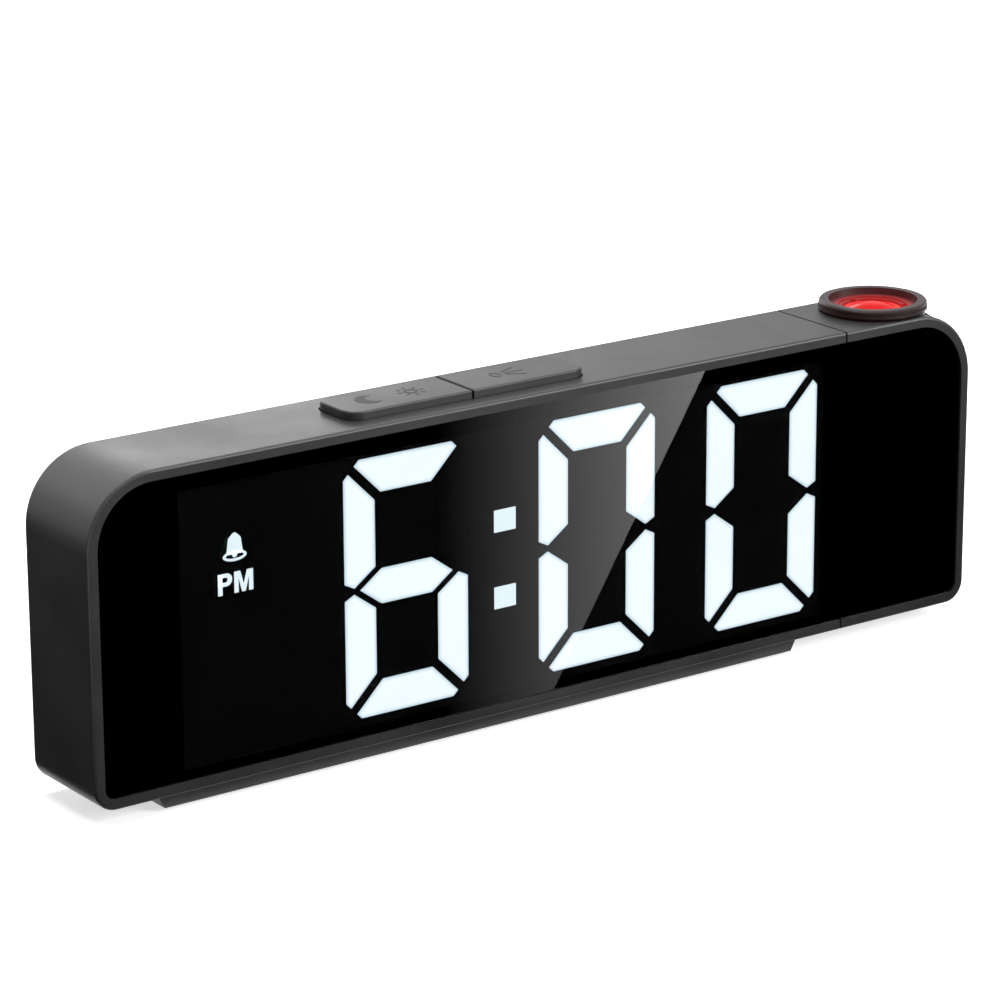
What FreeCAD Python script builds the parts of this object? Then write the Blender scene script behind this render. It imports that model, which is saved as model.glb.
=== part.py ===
import FreeCAD, Part
import Sketcher
import math
import os
import re
from FreeCAD import Placement, Rotation, Vector

# Projection alarm clock, in millimetres.
# X runs along the front from left to right, -Y is the front, +Z is up.
# The origin is under the middle of the clock, on the surface that it stands on.

os.makedirs("parts", exist_ok=True)
doc = FreeCAD.newDocument("projection_alarm_clock")

# Driving dimensions
sizes = {
    # housing
    "case_length": 190, "case_height": 57.1, "case_depth": 21, "wall": 2,
    "top_corner": 12.5, "bottom_corner": 4, "rear_round": 1.1, "front_round": 0.5,
    "rim": 1.9, "panel_recess": 0.35, "panel_thickness": 1.5, "panel_fit": 0.1,
    "cover_thickness": 2, "cover_fit": 0.15,
    # foot
    "foot_height": 2.6, "foot_left": -82.5, "foot_right": 54.8, "foot_setback": 1,
    "foot_draft": 1.2, "foot_seat": 0.9, "pad_length": 26, "pad_depth": 13, "pad_proud": 0.4,
    "pad_inset": 6, "foot_screw_spread": 30,
    # projector head and its pivot
    "head_length": 30.25, "head_gap": 0.4, "shaft_radius": 4, "shaft_bore": 2.4,
    "shaft_flange": 6.5, "flange_thickness": 1.5, "running_fit": 0.05, "washer_radius": 5.6,
    "washer_thickness": 0.7, "clip_thickness": 0.7, "clip_groove": 0.6, "shaft_lip": 0.6,
    "head_front_wall": 0.65,
    # focusing lens
    "ring_radius": 10.15, "ring_height": 2, "ring_lift": 0.15, "ring_tier": 0.85,
    "ring_groove": 0.3, "ring_mouth": 8.3, "ring_recess": 1.2, "skirt_radius": 7.2,
    "skirt_wall": 0.7, "skirt_depth": 10, "sliding_gap": 0.1, "barrel_wall": 0.7,
    "cell_wall": 0.85, "cell_height": 8, "cell_below_ring": 2.2, "nub_radius": 0.65,
    "nub_height": 53.5, "focus_turn": 50, "focus_lead": 7.54, "ring_clip_radius": 7.7,
    "ring_clip_thickness": 0.5, "lens_thickness": 3, "lens_bulge": 1.1, "lens_lip": 0.5,
    "lamp_house_radius": 7.4, "lamp_house_wall": 0.8, "lamp_house_low": 30.8,
    "collar_step": 0.45, "collar_room": 0.25, "shoulder_height": 44, "slide_width": 9.1, "slide_thickness": 1, "condenser_rise": 37.5,
    "condenser_edge": 1.4, "condenser_bulge": 2.4, "ear_reach": 9.9, "ear_radius": 2.1,
    "ear_thickness": 1.4, "ear_height": 41, "ear_front": 4,
    # display
    "digit_half_width": 12.75, "digit_half_height": 23.1, "digit_stroke": 6.3,
    "digit_gap": 1.25, "digit_tip": 1.95, "digit_split": 0.55, "digit_middle": 30.7,
    "first_digit": -31.8, "second_digit": 8.95, "third_digit": 46.25, "colon_place": -11.1,
    "colon_width": 4.6, "colon_height": 4, "colon_rise": 7, "reflector_depth": 4,
    "reflector_gap": 0.1, "window_fit": 0.05, "reflector_left": -77, "reflector_right": 60.4,
    "reflector_top_margin": 5.1, "reflector_low_margin": 3.5, "opening_fit": 0.3,
    "flange_reach": 0.7, "board_thickness": 1, "letter_height": 4.1, "letter_width": 3.2,
    "letter_stroke": 0.8, "letter_left": -70.3, "letter_low": 35.6, "letter_space": 0.75,
    "bell_place": -66.8, "bell_low": 41.1, "bell_width": 4.8, "bell_height": 5.1,
    "letter_recess": 1.2, "letter_floor": 0.6,
    "led_width": 2.8, "led_length": 3.5, "led_height": 1.1,
    # keys on the top
    "key_left": -41, "key_right": 9, "key_split": -15.75, "key_front": -6.4, "key_back": 5.2,
    "key_proud": 1.5, "key_corner": 3, "key_fit": 0.25, "key_travel": 0.8, "key_flange": 1,
    "key_flange_reach": 0.75, "key_gap": 0.3, "key_round": 0.3, "post_radius": 1,
    "post_place": 0.6, "switch_width": 6, "switch_depth": 4, "switch_height": 4,
    "plunger_radius": 1.1, "plunger_height": 0.8, "touch_gap": 0.1,
    # buttons in the back
    "button_radius": 3, "button_fit": 0.2, "button_travel": 0.5, "button_pitch": 12,
    "button_first": -10, "button_height": 44, "button_proud": 0.7, "button_flange": 0.8,
    "button_flange_reach": 0.9, "button_recess": 0.8, "recess_margin": 2.2, "stem_radius": 1.2,
    # inside the back
    "main_board_left": -50, "main_board_right": 52, "main_board_low": 10.8,
    "main_board_high": 50.5, "main_board_front": 2, "main_board_thickness": 1.2,
    "rear_switch_width": 6, "rear_switch_height": 3.1, "standoff_radius": 2.2,
    "socket_place": 30, "socket_height": 17, "socket_width": 9, "socket_tall": 3.3,
    "socket_wall": 0.35, "socket_length": 6.6, "tongue_width": 6.7, "tongue_thickness": 0.7,
    "tongue_length": 4.4, "buzzer_place": -24, "buzzer_height": 22, "buzzer_radius": 6,
    "buzzer_tall": 4.2, "grille_radius": 0.7, "grille_pitch": 3,
    # coin cell and its door
    "cell_place": -66, "cell_height_place": 31, "coin_radius": 10, "coin_thickness": 3.2,
    "coin_fit": 0.2, "well_wall": 1.2, "well_floor": 1, "contact_thickness": 0.3,
    "contact_width": 4, "door_radius": 12, "door_below_face": 0.1, "door_thickness": 1.8,
    "lug_reach": 1.2, "lug_thickness": 1, "lug_fit": 0.2, "lug_angle": 24, "door_turn": 45,
    "slot_width": 1.6, "slot_length": 15, "slot_depth": 0.9,
    # screws
    "screw_radius": 1, "screw_head_radius": 2.1, "screw_head": 1.1, "screw_fit": 0.3,
    "screw_sink": 1.3, "screw_length": 6, "boss_radius": 2.4, "boss_clear": 0.8, "boss_web": 1.2,
}
sheet = doc.addObject("Spreadsheet::Sheet", "Sizes")
for row, (word, value) in enumerate(sizes.items(), start=1):
    sheet.set("A%d" % row, word)
    sheet.set("B%d" % row, str(value))
    sheet.setAlias("B%d" % row, word)
doc.recompute()

pieces = {}


def tied(text):
    # an expression in words becomes one that reads the sheet
    def named(match):
        return "Sizes." + match.group() if match.group() in sizes else match.group()
    return re.sub(r"[a-z_]+", named, str(text))


def mm(text):
    return float(sheet.evalExpression(tied(text)))


def bind(thing, prop, text):
    thing.setExpression(prop, tied(text))


# Places that several pieces share
left = "(-case_length/2)"
right = "(case_length/2)"
low = "foot_height"
high = "(foot_height + case_height)"
front = "(-case_depth/2)"
back = "(case_depth/2)"
seam = "(case_length/2 - head_length)"
main_end = "(%s - head_gap/2)" % seam
head_start = "(%s + head_gap/2)" % seam
pivot_z = "(foot_height + case_height/2)"
panel_front = "(%s + panel_recess)" % front
panel_back = "(%s + panel_thickness)" % panel_front
ledge_back = "(%s + 0.6*wall)" % panel_back
cover_front = "(%s - cover_thickness)" % back
ceiling = "(%s - wall)" % high
ground = "(%s + wall)" % low
reflector_front = "(%s + reflector_gap)" % panel_back
reflector_back = "(%s + reflector_depth)" % reflector_front
board_back = "(%s + board_thickness)" % reflector_back
reflector_low = "(%s + reflector_low_margin)" % low
reflector_high = "(%s - reflector_top_margin)" % high
main_board_back = "(main_board_front + main_board_thickness)"
lens_x = "(%s + head_length/2)" % seam
head_inside = "(%s + head_front_wall)" % panel_back
button_count = 5


# Sketching and feature helpers

def new_body(name):
    body = doc.addObject("PartDesign::Body", name)
    body.Label = name
    pieces[name] = body
    return body


def new_sketch(body, word, role, lift="0", shift="0"):
    sketch = body.newObject("Sketcher::SketchObject", body.Name + "_" + word)
    plane = [item for item in body.Origin.OriginFeatures if item.Role == role][0]
    sketch.AttachmentSupport = [(plane, "")]
    sketch.MapMode = "FlatFace"
    bind(sketch, "AttachmentOffset.Base.z", lift)
    bind(sketch, "AttachmentOffset.Base.x", shift)
    return sketch


def measure(sketch, kind, geo, point, text):
    spot = sketch.addConstraint(Sketcher.Constraint(kind, -1, 1, geo, point, mm(text)))
    bind(sketch, "Constraints[%d]" % spot, text)


def draw_polygon(sketch, points):
    # straight sides through points, each coordinate tied to the sheet
    spots = [Vector(mm(x), mm(y), 0) for x, y in points]
    start = sketch.GeometryCount
    count = len(points)
    for n in range(count):
        sketch.addGeometry(Part.LineSegment(spots[n], spots[(n + 1) % count]), False)
    for n in range(count):
        after = start + (n + 1) % count
        sketch.addConstraint(Sketcher.Constraint("Coincident", start + n, 2, after, 1))
    for n, (x, y) in enumerate(points):
        measure(sketch, "DistanceX", start + n, 1, x)
        measure(sketch, "DistanceY", start + n, 1, y)


def draw_box(sketch, x0, x1, y0, y1, corners=(None, None, None, None)):
    # a rectangle with a radius at each corner: low left, low right, high right, high left
    turn = ((1, 1), (-1, 1), (-1, -1), (1, -1))
    xs, ys = (x0, x1, x1, x0), (y0, y0, y1, y1)
    start = sketch.GeometryCount
    radii = [mm(radius) if radius else 0 for radius in corners]
    place = [Vector(mm(xs[n]), mm(ys[n]), 0) for n in range(4)]
    along = (Vector(1, 0, 0), Vector(0, 1, 0), Vector(-1, 0, 0), Vector(0, -1, 0))
    for n in range(4):
        other = (n + 1) % 4
        begin = place[n] + along[n] * radii[n]
        end = place[other] - along[n] * radii[other]
        sketch.addGeometry(Part.LineSegment(begin, end), False)
        sketch.addConstraint(Sketcher.Constraint(
            "Horizontal" if n % 2 == 0 else "Vertical", start + n))
    measure(sketch, "DistanceY", start, 1, y0)
    measure(sketch, "DistanceX", start + 1, 1, x1)
    measure(sketch, "DistanceY", start + 2, 1, y1)
    measure(sketch, "DistanceX", start + 3, 1, x0)
    for n in range(4):
        before = start + (n - 1) % 4
        if not corners[n]:
            sketch.addConstraint(Sketcher.Constraint("Coincident", before, 2, start + n, 1))
            continue
        centre = place[n] + Vector(turn[n][0] * radii[n], turn[n][1] * radii[n], 0)
        angle = math.radians(180 + 90 * n)
        ring = Part.Circle(centre, Vector(0, 0, 1), radii[n])
        arc = sketch.addGeometry(Part.ArcOfCircle(ring, angle, angle + math.pi / 2), False)
        sketch.addConstraint(Sketcher.Constraint("Tangent", before, 2, arc, 1))
        sketch.addConstraint(Sketcher.Constraint("Tangent", arc, 2, start + n, 1))
        spot = sketch.addConstraint(Sketcher.Constraint("Radius", arc, radii[n]))
        bind(sketch, "Constraints[%d]" % spot, corners[n])


def draw_circle(sketch, x, y, radius):
    centre = Vector(mm(x), mm(y), 0)
    geo = sketch.addGeometry(Part.Circle(centre, Vector(0, 0, 1), mm(radius)), False)
    measure(sketch, "DistanceX", geo, 3, x)
    measure(sketch, "DistanceY", geo, 3, y)
    spot = sketch.addConstraint(Sketcher.Constraint("Radius", geo, mm(radius)))
    bind(sketch, "Constraints[%d]" % spot, radius)


def add_feature(body, kind, sketch, length, flip=False):
    feature = body.newObject("PartDesign::" + kind, sketch.Name + "_" + kind.lower())
    feature.Profile = sketch
    feature.Reversed = flip
    bind(feature, "Length", length)
    before = body.Shape.Volume if body.Shape.Solids else 0
    doc.recompute()
    change = body.Shape.Volume - before
    if change * (1 if kind == "Pad" else -1) < 0.01:
        raise RuntimeError("%s leaves %s as it was" % (feature.Name, body.Label))
    return feature


def pad(body, sketch, length, flip=False):
    return add_feature(body, "Pad", sketch, length, flip)


def pocket(body, sketch, length, flip=False):
    return add_feature(body, "Pocket", sketch, length, flip)


def turn_profile(body, sketch):
    # a full turn about the sketch's own upright axis
    feature = body.newObject("PartDesign::Revolution", sketch.Name + "_turned")
    feature.Profile = sketch
    feature.ReferenceAxis = (sketch, ["V_Axis"])
    feature.Angle = 360
    doc.recompute()
    return feature


def edges_where(shape, test):
    return ["Edge%d" % (n + 1) for n, edge in enumerate(shape.Edges) if test(edge.BoundBox)]


def round_edges(body, word, radius, test):
    base = body.Tip
    names = edges_where(base.Shape, test)
    if not names:
        raise RuntimeError("no edge for %s on %s" % (word, body.Label))
    feature = body.newObject("PartDesign::Fillet", body.Name + "_" + word)
    feature.Base = (base, names)
    bind(feature, "Radius", radius)
    doc.recompute()
    return feature


# Primitive helpers

def box(name, x0, x1, y0, y1, z0, z1):
    thing = doc.addObject("Part::Box", name)
    for prop, lower, upper in (("Length", x0, x1), ("Width", y0, y1), ("Height", z0, z1)):
        bind(thing, prop, "%s - (%s)" % (upper, lower))
    for letter, place in zip("xyz", (x0, y0, z0)):
        bind(thing, "Placement.Base." + letter, place)
    return thing


turns = {"x": Rotation(Vector(0, 1, 0), 90), "y": Rotation(Vector(1, 0, 0), -90),
         "z": Rotation()}


def rod(name, radius, length, x, y, z, axis="z"):
    # a cylinder from its base point along the positive axis
    thing = doc.addObject("Part::Cylinder", name)
    thing.Placement = Placement(Vector(), turns[axis])
    bind(thing, "Radius", radius)
    bind(thing, "Height", length)
    for letter, place in zip("xyz", (x, y, z)):
        bind(thing, "Placement.Base." + letter, place)
    return thing


def fuse(name, parts):
    thing = doc.addObject("Part::MultiFuse", name)
    thing.Shapes = parts
    return thing


def cut(name, base, tools):
    thing = doc.addObject("Part::Cut", name)
    thing.Base = base
    thing.Tool = tools[0] if len(tools) == 1 else fuse(name + "_tools", tools)
    return thing


def raw(name, shape):
    # a shape worked out from the sheet's sizes, where no feature fits
    thing = doc.addObject("Part::Feature", name)
    thing.Shape = shape
    thing.Placement = shape.Placement
    return thing


def keep(name, thing):
    thing.Label = name
    pieces[name] = thing
    return thing


def screw(x, y, z, axis, length):
    # round-headed screw: the head's seat is at the point, the shank runs along axis
    shank = Part.makeCylinder(mm("screw_radius"), mm(length), Vector(x, y, z), axis)
    head = Part.makeCylinder(mm("screw_head_radius"), mm("screw_head"), Vector(x, y, z),
                             axis.negative())
    rim_edge = max(head.Edges, key=lambda edge: edge.CenterOfMass.sub(
        Vector(x, y, z)).Length if edge.Closed else 0)
    head = head.makeFillet(mm("0.45*screw_head"), [rim_edge])
    return head.fuse(shank).removeSplitter()


# Housing: one section for the clock and its head, so that they line up

def housing(name, x0, x1, outer_side):
    # outer_side is -1 where the left end is the rounded one, +1 for the right end
    body = new_body(name)
    sketch = new_sketch(body, "outline", "XZ_Plane", "case_depth/2")
    ends = (("bottom_corner", None, None, "top_corner") if outer_side < 0
            else (None, "bottom_corner", "top_corner", None))
    draw_box(sketch, x0, x1, low, high, ends)
    pad(body, sketch, "case_depth", flip=True)
    if outer_side > 0:
        # collar that carries the focusing ring past the rounded corner
        sketch = new_sketch(body, "collar", "XY_Plane", high)
        draw_circle(sketch, lens_x, "0", "ring_radius - collar_step")
        pad(body, sketch, "top_corner/2", flip=True)
    inner_end = mm(x1 if outer_side < 0 else x0)

    def ring_at(place):
        def test(edge_box):
            flat = abs(edge_box.YMin - place) < 1e-4 and abs(edge_box.YMax - place) < 1e-4
            at_end = (abs(edge_box.XMin - inner_end) < 1e-4
                      and abs(edge_box.XMax - inner_end) < 1e-4)
            return flat and not at_end
        return test
    round_edges(body, "rear_round", "rear_round", ring_at(mm(back)))
    round_edges(body, "front_round", "front_round", ring_at(mm(front)))
    # recess for the front panel, open at the seam
    sketch = new_sketch(body, "panel_seat", "XZ_Plane", "case_depth/2")
    seat = ["%s + rim" % x0, "%s - rim" % x1]
    seat[1 if outer_side < 0 else 0] = x1 if outer_side < 0 else x0
    corner_low, corner_high = "bottom_corner - rim", "top_corner - rim"
    ends = ((corner_low, None, None, corner_high) if outer_side < 0
            else (None, corner_low, corner_high, None))
    draw_box(sketch, seat[0], seat[1], "%s + rim" % low, "%s - rim" % high, ends)
    pocket(body, sketch, "panel_recess + panel_thickness")
    return body


def cavity(body, x0, x1, outer_side, stop):
    # the inside, open at the back, as deep as the face at stop
    sketch = new_sketch(body, "inside", "XZ_Plane", "-case_depth/2")
    ends = (("bottom_corner - wall", None, None, "top_corner - wall") if outer_side < 0
            else (None, "bottom_corner - wall", "top_corner - wall", None))
    draw_box(sketch, "%s + wall" % x0, "%s - wall" % x1, ground, ceiling, ends)
    pocket(body, sketch, "%s - %s" % (back, stop), flip=True)


def bosses(body, word, places, start):
    # round posts along Y up to the rear cover, each with a web to a wall and a pilot hole
    length = "%s - (%s)" % (cover_front, start)
    sketch = new_sketch(body, word, "XZ_Plane", "-(%s)" % start)
    for x, z in places:
        draw_circle(sketch, x, z, "boss_radius")
    pad(body, sketch, length, flip=True)
    sketch = new_sketch(body, word + "_webs", "XZ_Plane", "-(%s)" % start)
    for x, z in places:
        to_top = mm(z) > mm(pivot_z)
        draw_box(sketch, "%s - boss_web/2" % x, "%s + boss_web/2" % x,
                 z if to_top else "%s - wall/2" % ground,
                 "%s + wall/2" % ceiling if to_top else z)
    pad(body, sketch, length, flip=True)
    sketch = new_sketch(body, word + "_pilots", "XZ_Plane", "-(%s)" % cover_front)
    for x, z in places:
        draw_circle(sketch, x, z, "screw_radius")
    pocket(body, sketch, "screw_length - cover_thickness + screw_sink", flip=True)


boss_inset = "(boss_radius + boss_clear)"
boss_high = "(%s - %s)" % (ceiling, boss_inset)
boss_low = "(%s + %s)" % (ground, boss_inset)
cover_screw_places = [
    ("(%s + top_corner + boss_radius)" % left, boss_high),
    ("(%s - wall - 2*boss_radius)" % main_end, boss_high),
    ("(%s + wall + 2*boss_radius)" % left, boss_low),
    ("first_digit/2", boss_low),
    ("(%s - wall - 2*boss_radius)" % main_end, boss_low),
]
boss_start = "(%s + reflector_gap)" % board_back

main_case = housing("main_case", left, main_end, -1)
cavity(main_case, left, main_end, -1, ledge_back)
bosses(main_case, "cover_bosses", cover_screw_places, boss_start)
# window for the display behind the panel
sketch = new_sketch(main_case, "window", "XZ_Plane", "case_depth/2")
draw_box(sketch, "reflector_left - opening_fit", "reflector_right + opening_fit",
         "%s - opening_fit" % reflector_low, "%s + opening_fit" % reflector_high)
pocket(main_case, sketch, "%s - %s + opening_fit" % (ledge_back, front))
# opening for the two top keys
sketch = new_sketch(main_case, "key_opening", "XY_Plane", high)
draw_box(sketch, "key_left - key_fit", "key_right + key_fit", "key_front - key_fit",
         "key_back + key_fit", ("key_corner + key_fit",) * 4)
pocket(main_case, sketch, "wall")
# bore for the head's hollow shaft
sketch = new_sketch(main_case, "pivot_bore", "YZ_Plane", main_end)
draw_circle(sketch, "0", pivot_z, "shaft_radius + running_fit")
pocket(main_case, sketch, "wall")
# posts and holes for the foot's screws
foot_screw_places = ["(foot_left + foot_right)/2 - foot_screw_spread",
                     "(foot_left + foot_right)/2 + foot_screw_spread"]
foot_screw_y = "(case_depth/4 - 0.5)"
sketch = new_sketch(main_case, "foot_posts", "XY_Plane", ground)
for place in foot_screw_places:
    draw_circle(sketch, place, foot_screw_y, "boss_radius")
pad(main_case, sketch, "boss_radius*1.6")
sketch = new_sketch(main_case, "foot_pilots", "XY_Plane", low)
for place in foot_screw_places:
    draw_circle(sketch, place, foot_screw_y, "screw_radius")
pocket(main_case, sketch, "screw_length", flip=True)


def panel(name, x0, x1, outer_side):
    # smoked front panel, seated in the housing's recess
    body = new_body(name)
    sketch = new_sketch(body, "outline", "XZ_Plane", "-(%s)" % panel_front)
    edge = "rim + panel_fit"
    x_low = "%s + %s" % (x0, edge) if outer_side < 0 else x0
    x_high = x1 if outer_side < 0 else "%s - (%s)" % (x1, edge)
    corner_low, corner_high = "bottom_corner - (%s)" % edge, "top_corner - (%s)" % edge
    ends = ((corner_low, None, None, corner_high) if outer_side < 0
            else (None, corner_low, corner_high, None))
    draw_box(sketch, x_low, x_high, "%s + %s" % (low, edge), "%s - (%s)" % (high, edge), ends)
    pad(body, sketch, "panel_thickness", flip=True)
    return body


panel("display_panel", left, main_end, -1)


# Display: light wells, diffusers, indicators and board

def digit_polygons(x, grow):
    # the seven strokes of a digit, from its half sizes, mitred with a gap; grow widens each
    w, h, s = mm("digit_half_width"), mm("digit_half_height"), mm("digit_stroke")
    g, t, m = mm("digit_gap"), mm("digit_tip"), mm("digit_split")
    top = [(-(w - g - t), h), (w - g - t, h), (w - g - t / 2, h - t / 2), (w - s - g, h - s),
           (-(w - s - g), h - s), (-(w - g - t / 2), h - t / 2)]
    side = [(w, h - g - t), (w - t / 2, h - g - t / 2), (w - s, h - s - g),
            (w - s, s / 2 + m), (w - t, m), (w, m + t / 2)]
    middle = [(-(w - t - g), 0), (-(w - s - g), s / 2), (w - s - g, s / 2), (w - t - g, 0),
              (w - s - g, -s / 2), (-(w - s - g), -s / 2)]
    shapes = {"a": top, "b": side, "c": [(p, -q) for p, q in side],
              "d": [(p, -q) for p, q in top], "e": [(-p, -q) for p, q in side],
              "f": [(-p, q) for p, q in side], "g": middle}
    centre = mm("digit_middle")
    result = {}
    for word, points in shapes.items():
        corners = [Vector(mm(x) + p, 0, centre + q) for p, q in points]
        wire = Part.makePolygon(corners + corners[:1])
        result[word] = Part.Face(wire.makeOffset2D(grow, 2) if grow else wire)
    return result


def bell_face(grow):
    # a small bell: a half round crown on straight sides, a wider lip and a clapper
    x, z = mm("bell_place"), mm("bell_low")
    w, h = mm("bell_width") / 2 + grow, mm("bell_height")
    lip, crown = 0.2 * h, 0.56 * w
    base = z + 0.16 * h
    points = [Vector(x - w, 0, base - grow), Vector(x + w, 0, base - grow),
              Vector(x + w, 0, base + lip), Vector(x + crown, 0, base + 2 * lip),
              Vector(x + crown, 0, z + h - crown - 0.1 * h)]
    over = Vector(x, 0, z + h - 0.1 * h + grow)
    far = [Vector(x - crown, 0, z + h - crown - 0.1 * h), Vector(x - crown, 0, base + 2 * lip),
           Vector(x - w, 0, base + lip)]
    edges = [Part.makeLine(points[n], points[n + 1]) for n in range(4)]
    edges.append(Part.Arc(points[4], over, far[0]).toShape())
    edges += [Part.makeLine(far[0], far[1]), Part.makeLine(far[1], far[2]),
              Part.makeLine(far[2], points[0])]
    return Part.Face(Part.Wire(edges))


def letter_faces(grow):
    # the two letters of the afternoon mark, in plain strokes
    x, z = mm("letter_left"), mm("letter_low")
    w, h, s = mm("letter_width"), mm("letter_height"), mm("letter_stroke") + 2 * grow
    x -= grow
    z -= grow
    w += 2 * grow
    h += 2 * grow

    def bar(x0, x1, z0, z1):
        corners = [Vector(x0, 0, z0), Vector(x1, 0, z0), Vector(x1, 0, z1), Vector(x0, 0, z1)]
        return Part.Face(Part.makePolygon(corners + corners[:1]))
    waist = z + 0.42 * h
    bowl = (h - 0.42 * h) / 2
    outer = Part.Face(Part.Wire(Part.makeCircle(bowl, Vector(x + w - bowl, 0, waist + bowl),
                                                Vector(0, 1, 0))))
    inner = Part.Face(Part.Wire(Part.makeCircle(bowl - s, Vector(x + w - bowl, 0, waist + bowl),
                                                Vector(0, 1, 0))))
    half = bar(x + w - bowl, x + w + s, z, z + h)
    arch = outer.cut(inner).common(half)
    first = bar(x, x + s, z, z + h).fuse([
        bar(x, x + w - bowl, z + h - s, z + h), bar(x, x + w - bowl, waist, waist + s), arch])
    x2 = x + w + mm("letter_space") - 2 * grow
    w2 = 1.2 * w
    mid = x2 + w2 / 2
    v_points = [Vector(x2 + s * 0.2, 0, z + h), Vector(x2 + s * 1.25, 0, z + h),
                Vector(mid, 0, z + 0.42 * h), Vector(x2 + w2 - s * 1.25, 0, z + h),
                Vector(x2 + w2 - s * 0.2, 0, z + h), Vector(mid + s / 2, 0, z + 0.05 * h),
                Vector(mid - s / 2, 0, z + 0.05 * h)]
    vee = Part.Face(Part.makePolygon(v_points + v_points[:1]))
    second = bar(x2, x2 + s, z, z + h).fuse([bar(x2 + w2 - s, x2 + w2, z, z + h), vee])
    return [first, second]


def colon_faces(grow):
    found = []
    for side in (-1, 1):
        w, h = mm("colon_width") / 2 + grow, mm("colon_height") / 2 + grow
        x, z = mm("colon_place"), mm("digit_middle") + side * mm("colon_rise")
        corners = [Vector(x - w, 0, z - h), Vector(x + w, 0, z - h), Vector(x + w, 0, z + h),
                   Vector(x - w, 0, z + h)]
        found.append(Part.Face(Part.makePolygon(corners + corners[:1])))
    return found


def through(faces, start, depth):
    # solids along Y from the drawn faces
    made = []
    for face in faces:
        solid = face.extrude(Vector(0, depth, 0))
        if len(face.Faces) > 1:
            solid = solid.Solids[0].fuse(solid.Solids[1:]).removeSplitter()
        solid.translate(Vector(0, start, 0))
        made += solid.Solids
    return made


digit_places = ("first_digit", "second_digit", "third_digit")
unlit = [("first_digit", "b"), ("second_digit", "g"), ("third_digit", "g")]
fit = mm("window_fit")
windows, lit, dark = [], [], []
for place in digit_places:
    windows += list(digit_polygons(place, fit).values())
    for word, face in digit_polygons(place, 0).items():
        (dark if (place, word) in unlit else lit).append(face)
windows += colon_faces(fit) + [bell_face(fit)]
y_front, depth = mm(reflector_front), mm("reflector_depth")
well_solids = through(windows, y_front - 1, depth + 2)
# the letters sit in a shallow recess, whose thin floor lets the light through
letter_depth, floor_depth = mm("letter_recess"), mm("letter_recess + letter_floor")
well_solids += through(letter_faces(fit), y_front - 1, letter_depth + 1)
marks = Part.makeCompound(letter_faces(0)).BoundBox
well_solids.append(Part.makeBox(marks.XLength, depth - floor_depth + 1, marks.ZLength,
                                Vector(marks.XMin, y_front + floor_depth, marks.ZMin)))
wells = raw("well_cores", Part.makeCompound(well_solids))

block = box("reflector_block", "reflector_left", "reflector_right", reflector_front,
            reflector_back, reflector_low, reflector_high)
flange = box("reflector_flange", "reflector_left - flange_reach",
             "reflector_right + opening_fit", ledge_back, "%s + board_thickness" % ledge_back,
             "%s - flange_reach" % reflector_low, "%s + flange_reach" % reflector_high)
keep("display_reflector", cut("reflector", fuse("reflector_solid", [block, flange]), [wells]))

diffuser_depth = mm("reflector_depth - led_height - board_thickness")
keep("lit_segments", raw("lit", Part.makeCompound(through(lit, y_front, diffuser_depth))))
keep("unlit_segments", raw("dark", Part.makeCompound(through(dark, y_front, diffuser_depth))))
keep("colon_diffusers", raw("colon", Part.makeCompound(
    through(colon_faces(0), y_front, diffuser_depth))))
keep("alarm_bell_diffuser", raw("bell", Part.makeCompound(
    through([bell_face(0)], y_front, diffuser_depth))))
keep("afternoon_mark_diffuser", raw("letters", Part.makeCompound(
    through(letter_faces(0), y_front, letter_depth))))
keep("display_board", box("display_board", "reflector_left", "reflector_right", reflector_back,
                          board_back, reflector_low, reflector_high))


def led_at(x, z, turned):
    long, wide = mm("led_length"), mm("led_width")
    across, tall = (wide, long) if turned else (long, wide)
    corner = Vector(x - across / 2, mm(reflector_back) - mm("led_height"), z - tall / 2)
    return Part.makeBox(across, mm("led_height"), tall, corner)


leds = []
for place in digit_places:
    for word, face in digit_polygons(place, 0).items():
        spot = face.CenterOfMass
        leds.append(led_at(spot.x, spot.z, word in "bcef"))
for face in colon_faces(0):
    leds.append(led_at(face.CenterOfMass.x, face.CenterOfMass.z, False))
keep("segment_leds", raw("leds", Part.makeCompound(leds)))


# Foot under the clock, its pads and screws
foot = new_body("base_foot")
sketch = new_sketch(foot, "section", "XZ_Plane", "case_depth/2 - foot_setback")
draw_polygon(sketch, [("foot_left + foot_draft", "pad_proud"),
                      ("foot_right - foot_draft", "pad_proud"), ("foot_right", low),
                      ("foot_left", low)])
pad(foot, sketch, "case_depth - 2*foot_setback", flip=True)
pad_places = ["foot_left + pad_inset + pad_length/2", "foot_right - pad_inset - pad_length/2"]
sketch = new_sketch(foot, "pad_seats", "XY_Plane", "pad_proud")
for place in pad_places:
    draw_box(sketch, "%s - pad_length/2 - panel_fit" % place,
             "%s + pad_length/2 + panel_fit" % place, "-pad_depth/2 - panel_fit",
             "pad_depth/2 + panel_fit", ("foot_draft",) * 4)
pocket(foot, sketch, "foot_seat", flip=True)
sketch = new_sketch(foot, "screw_holes", "XY_Plane", "pad_proud")
for place in foot_screw_places:
    draw_circle(sketch, place, foot_screw_y, "screw_radius + screw_fit")
pocket(foot, sketch, "foot_height", flip=True)
sketch = new_sketch(foot, "screw_sinks", "XY_Plane", "pad_proud")
for place in foot_screw_places:
    draw_circle(sketch, place, foot_screw_y, "screw_head_radius + screw_fit")
pocket(foot, sketch, "screw_sink", flip=True)

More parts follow.
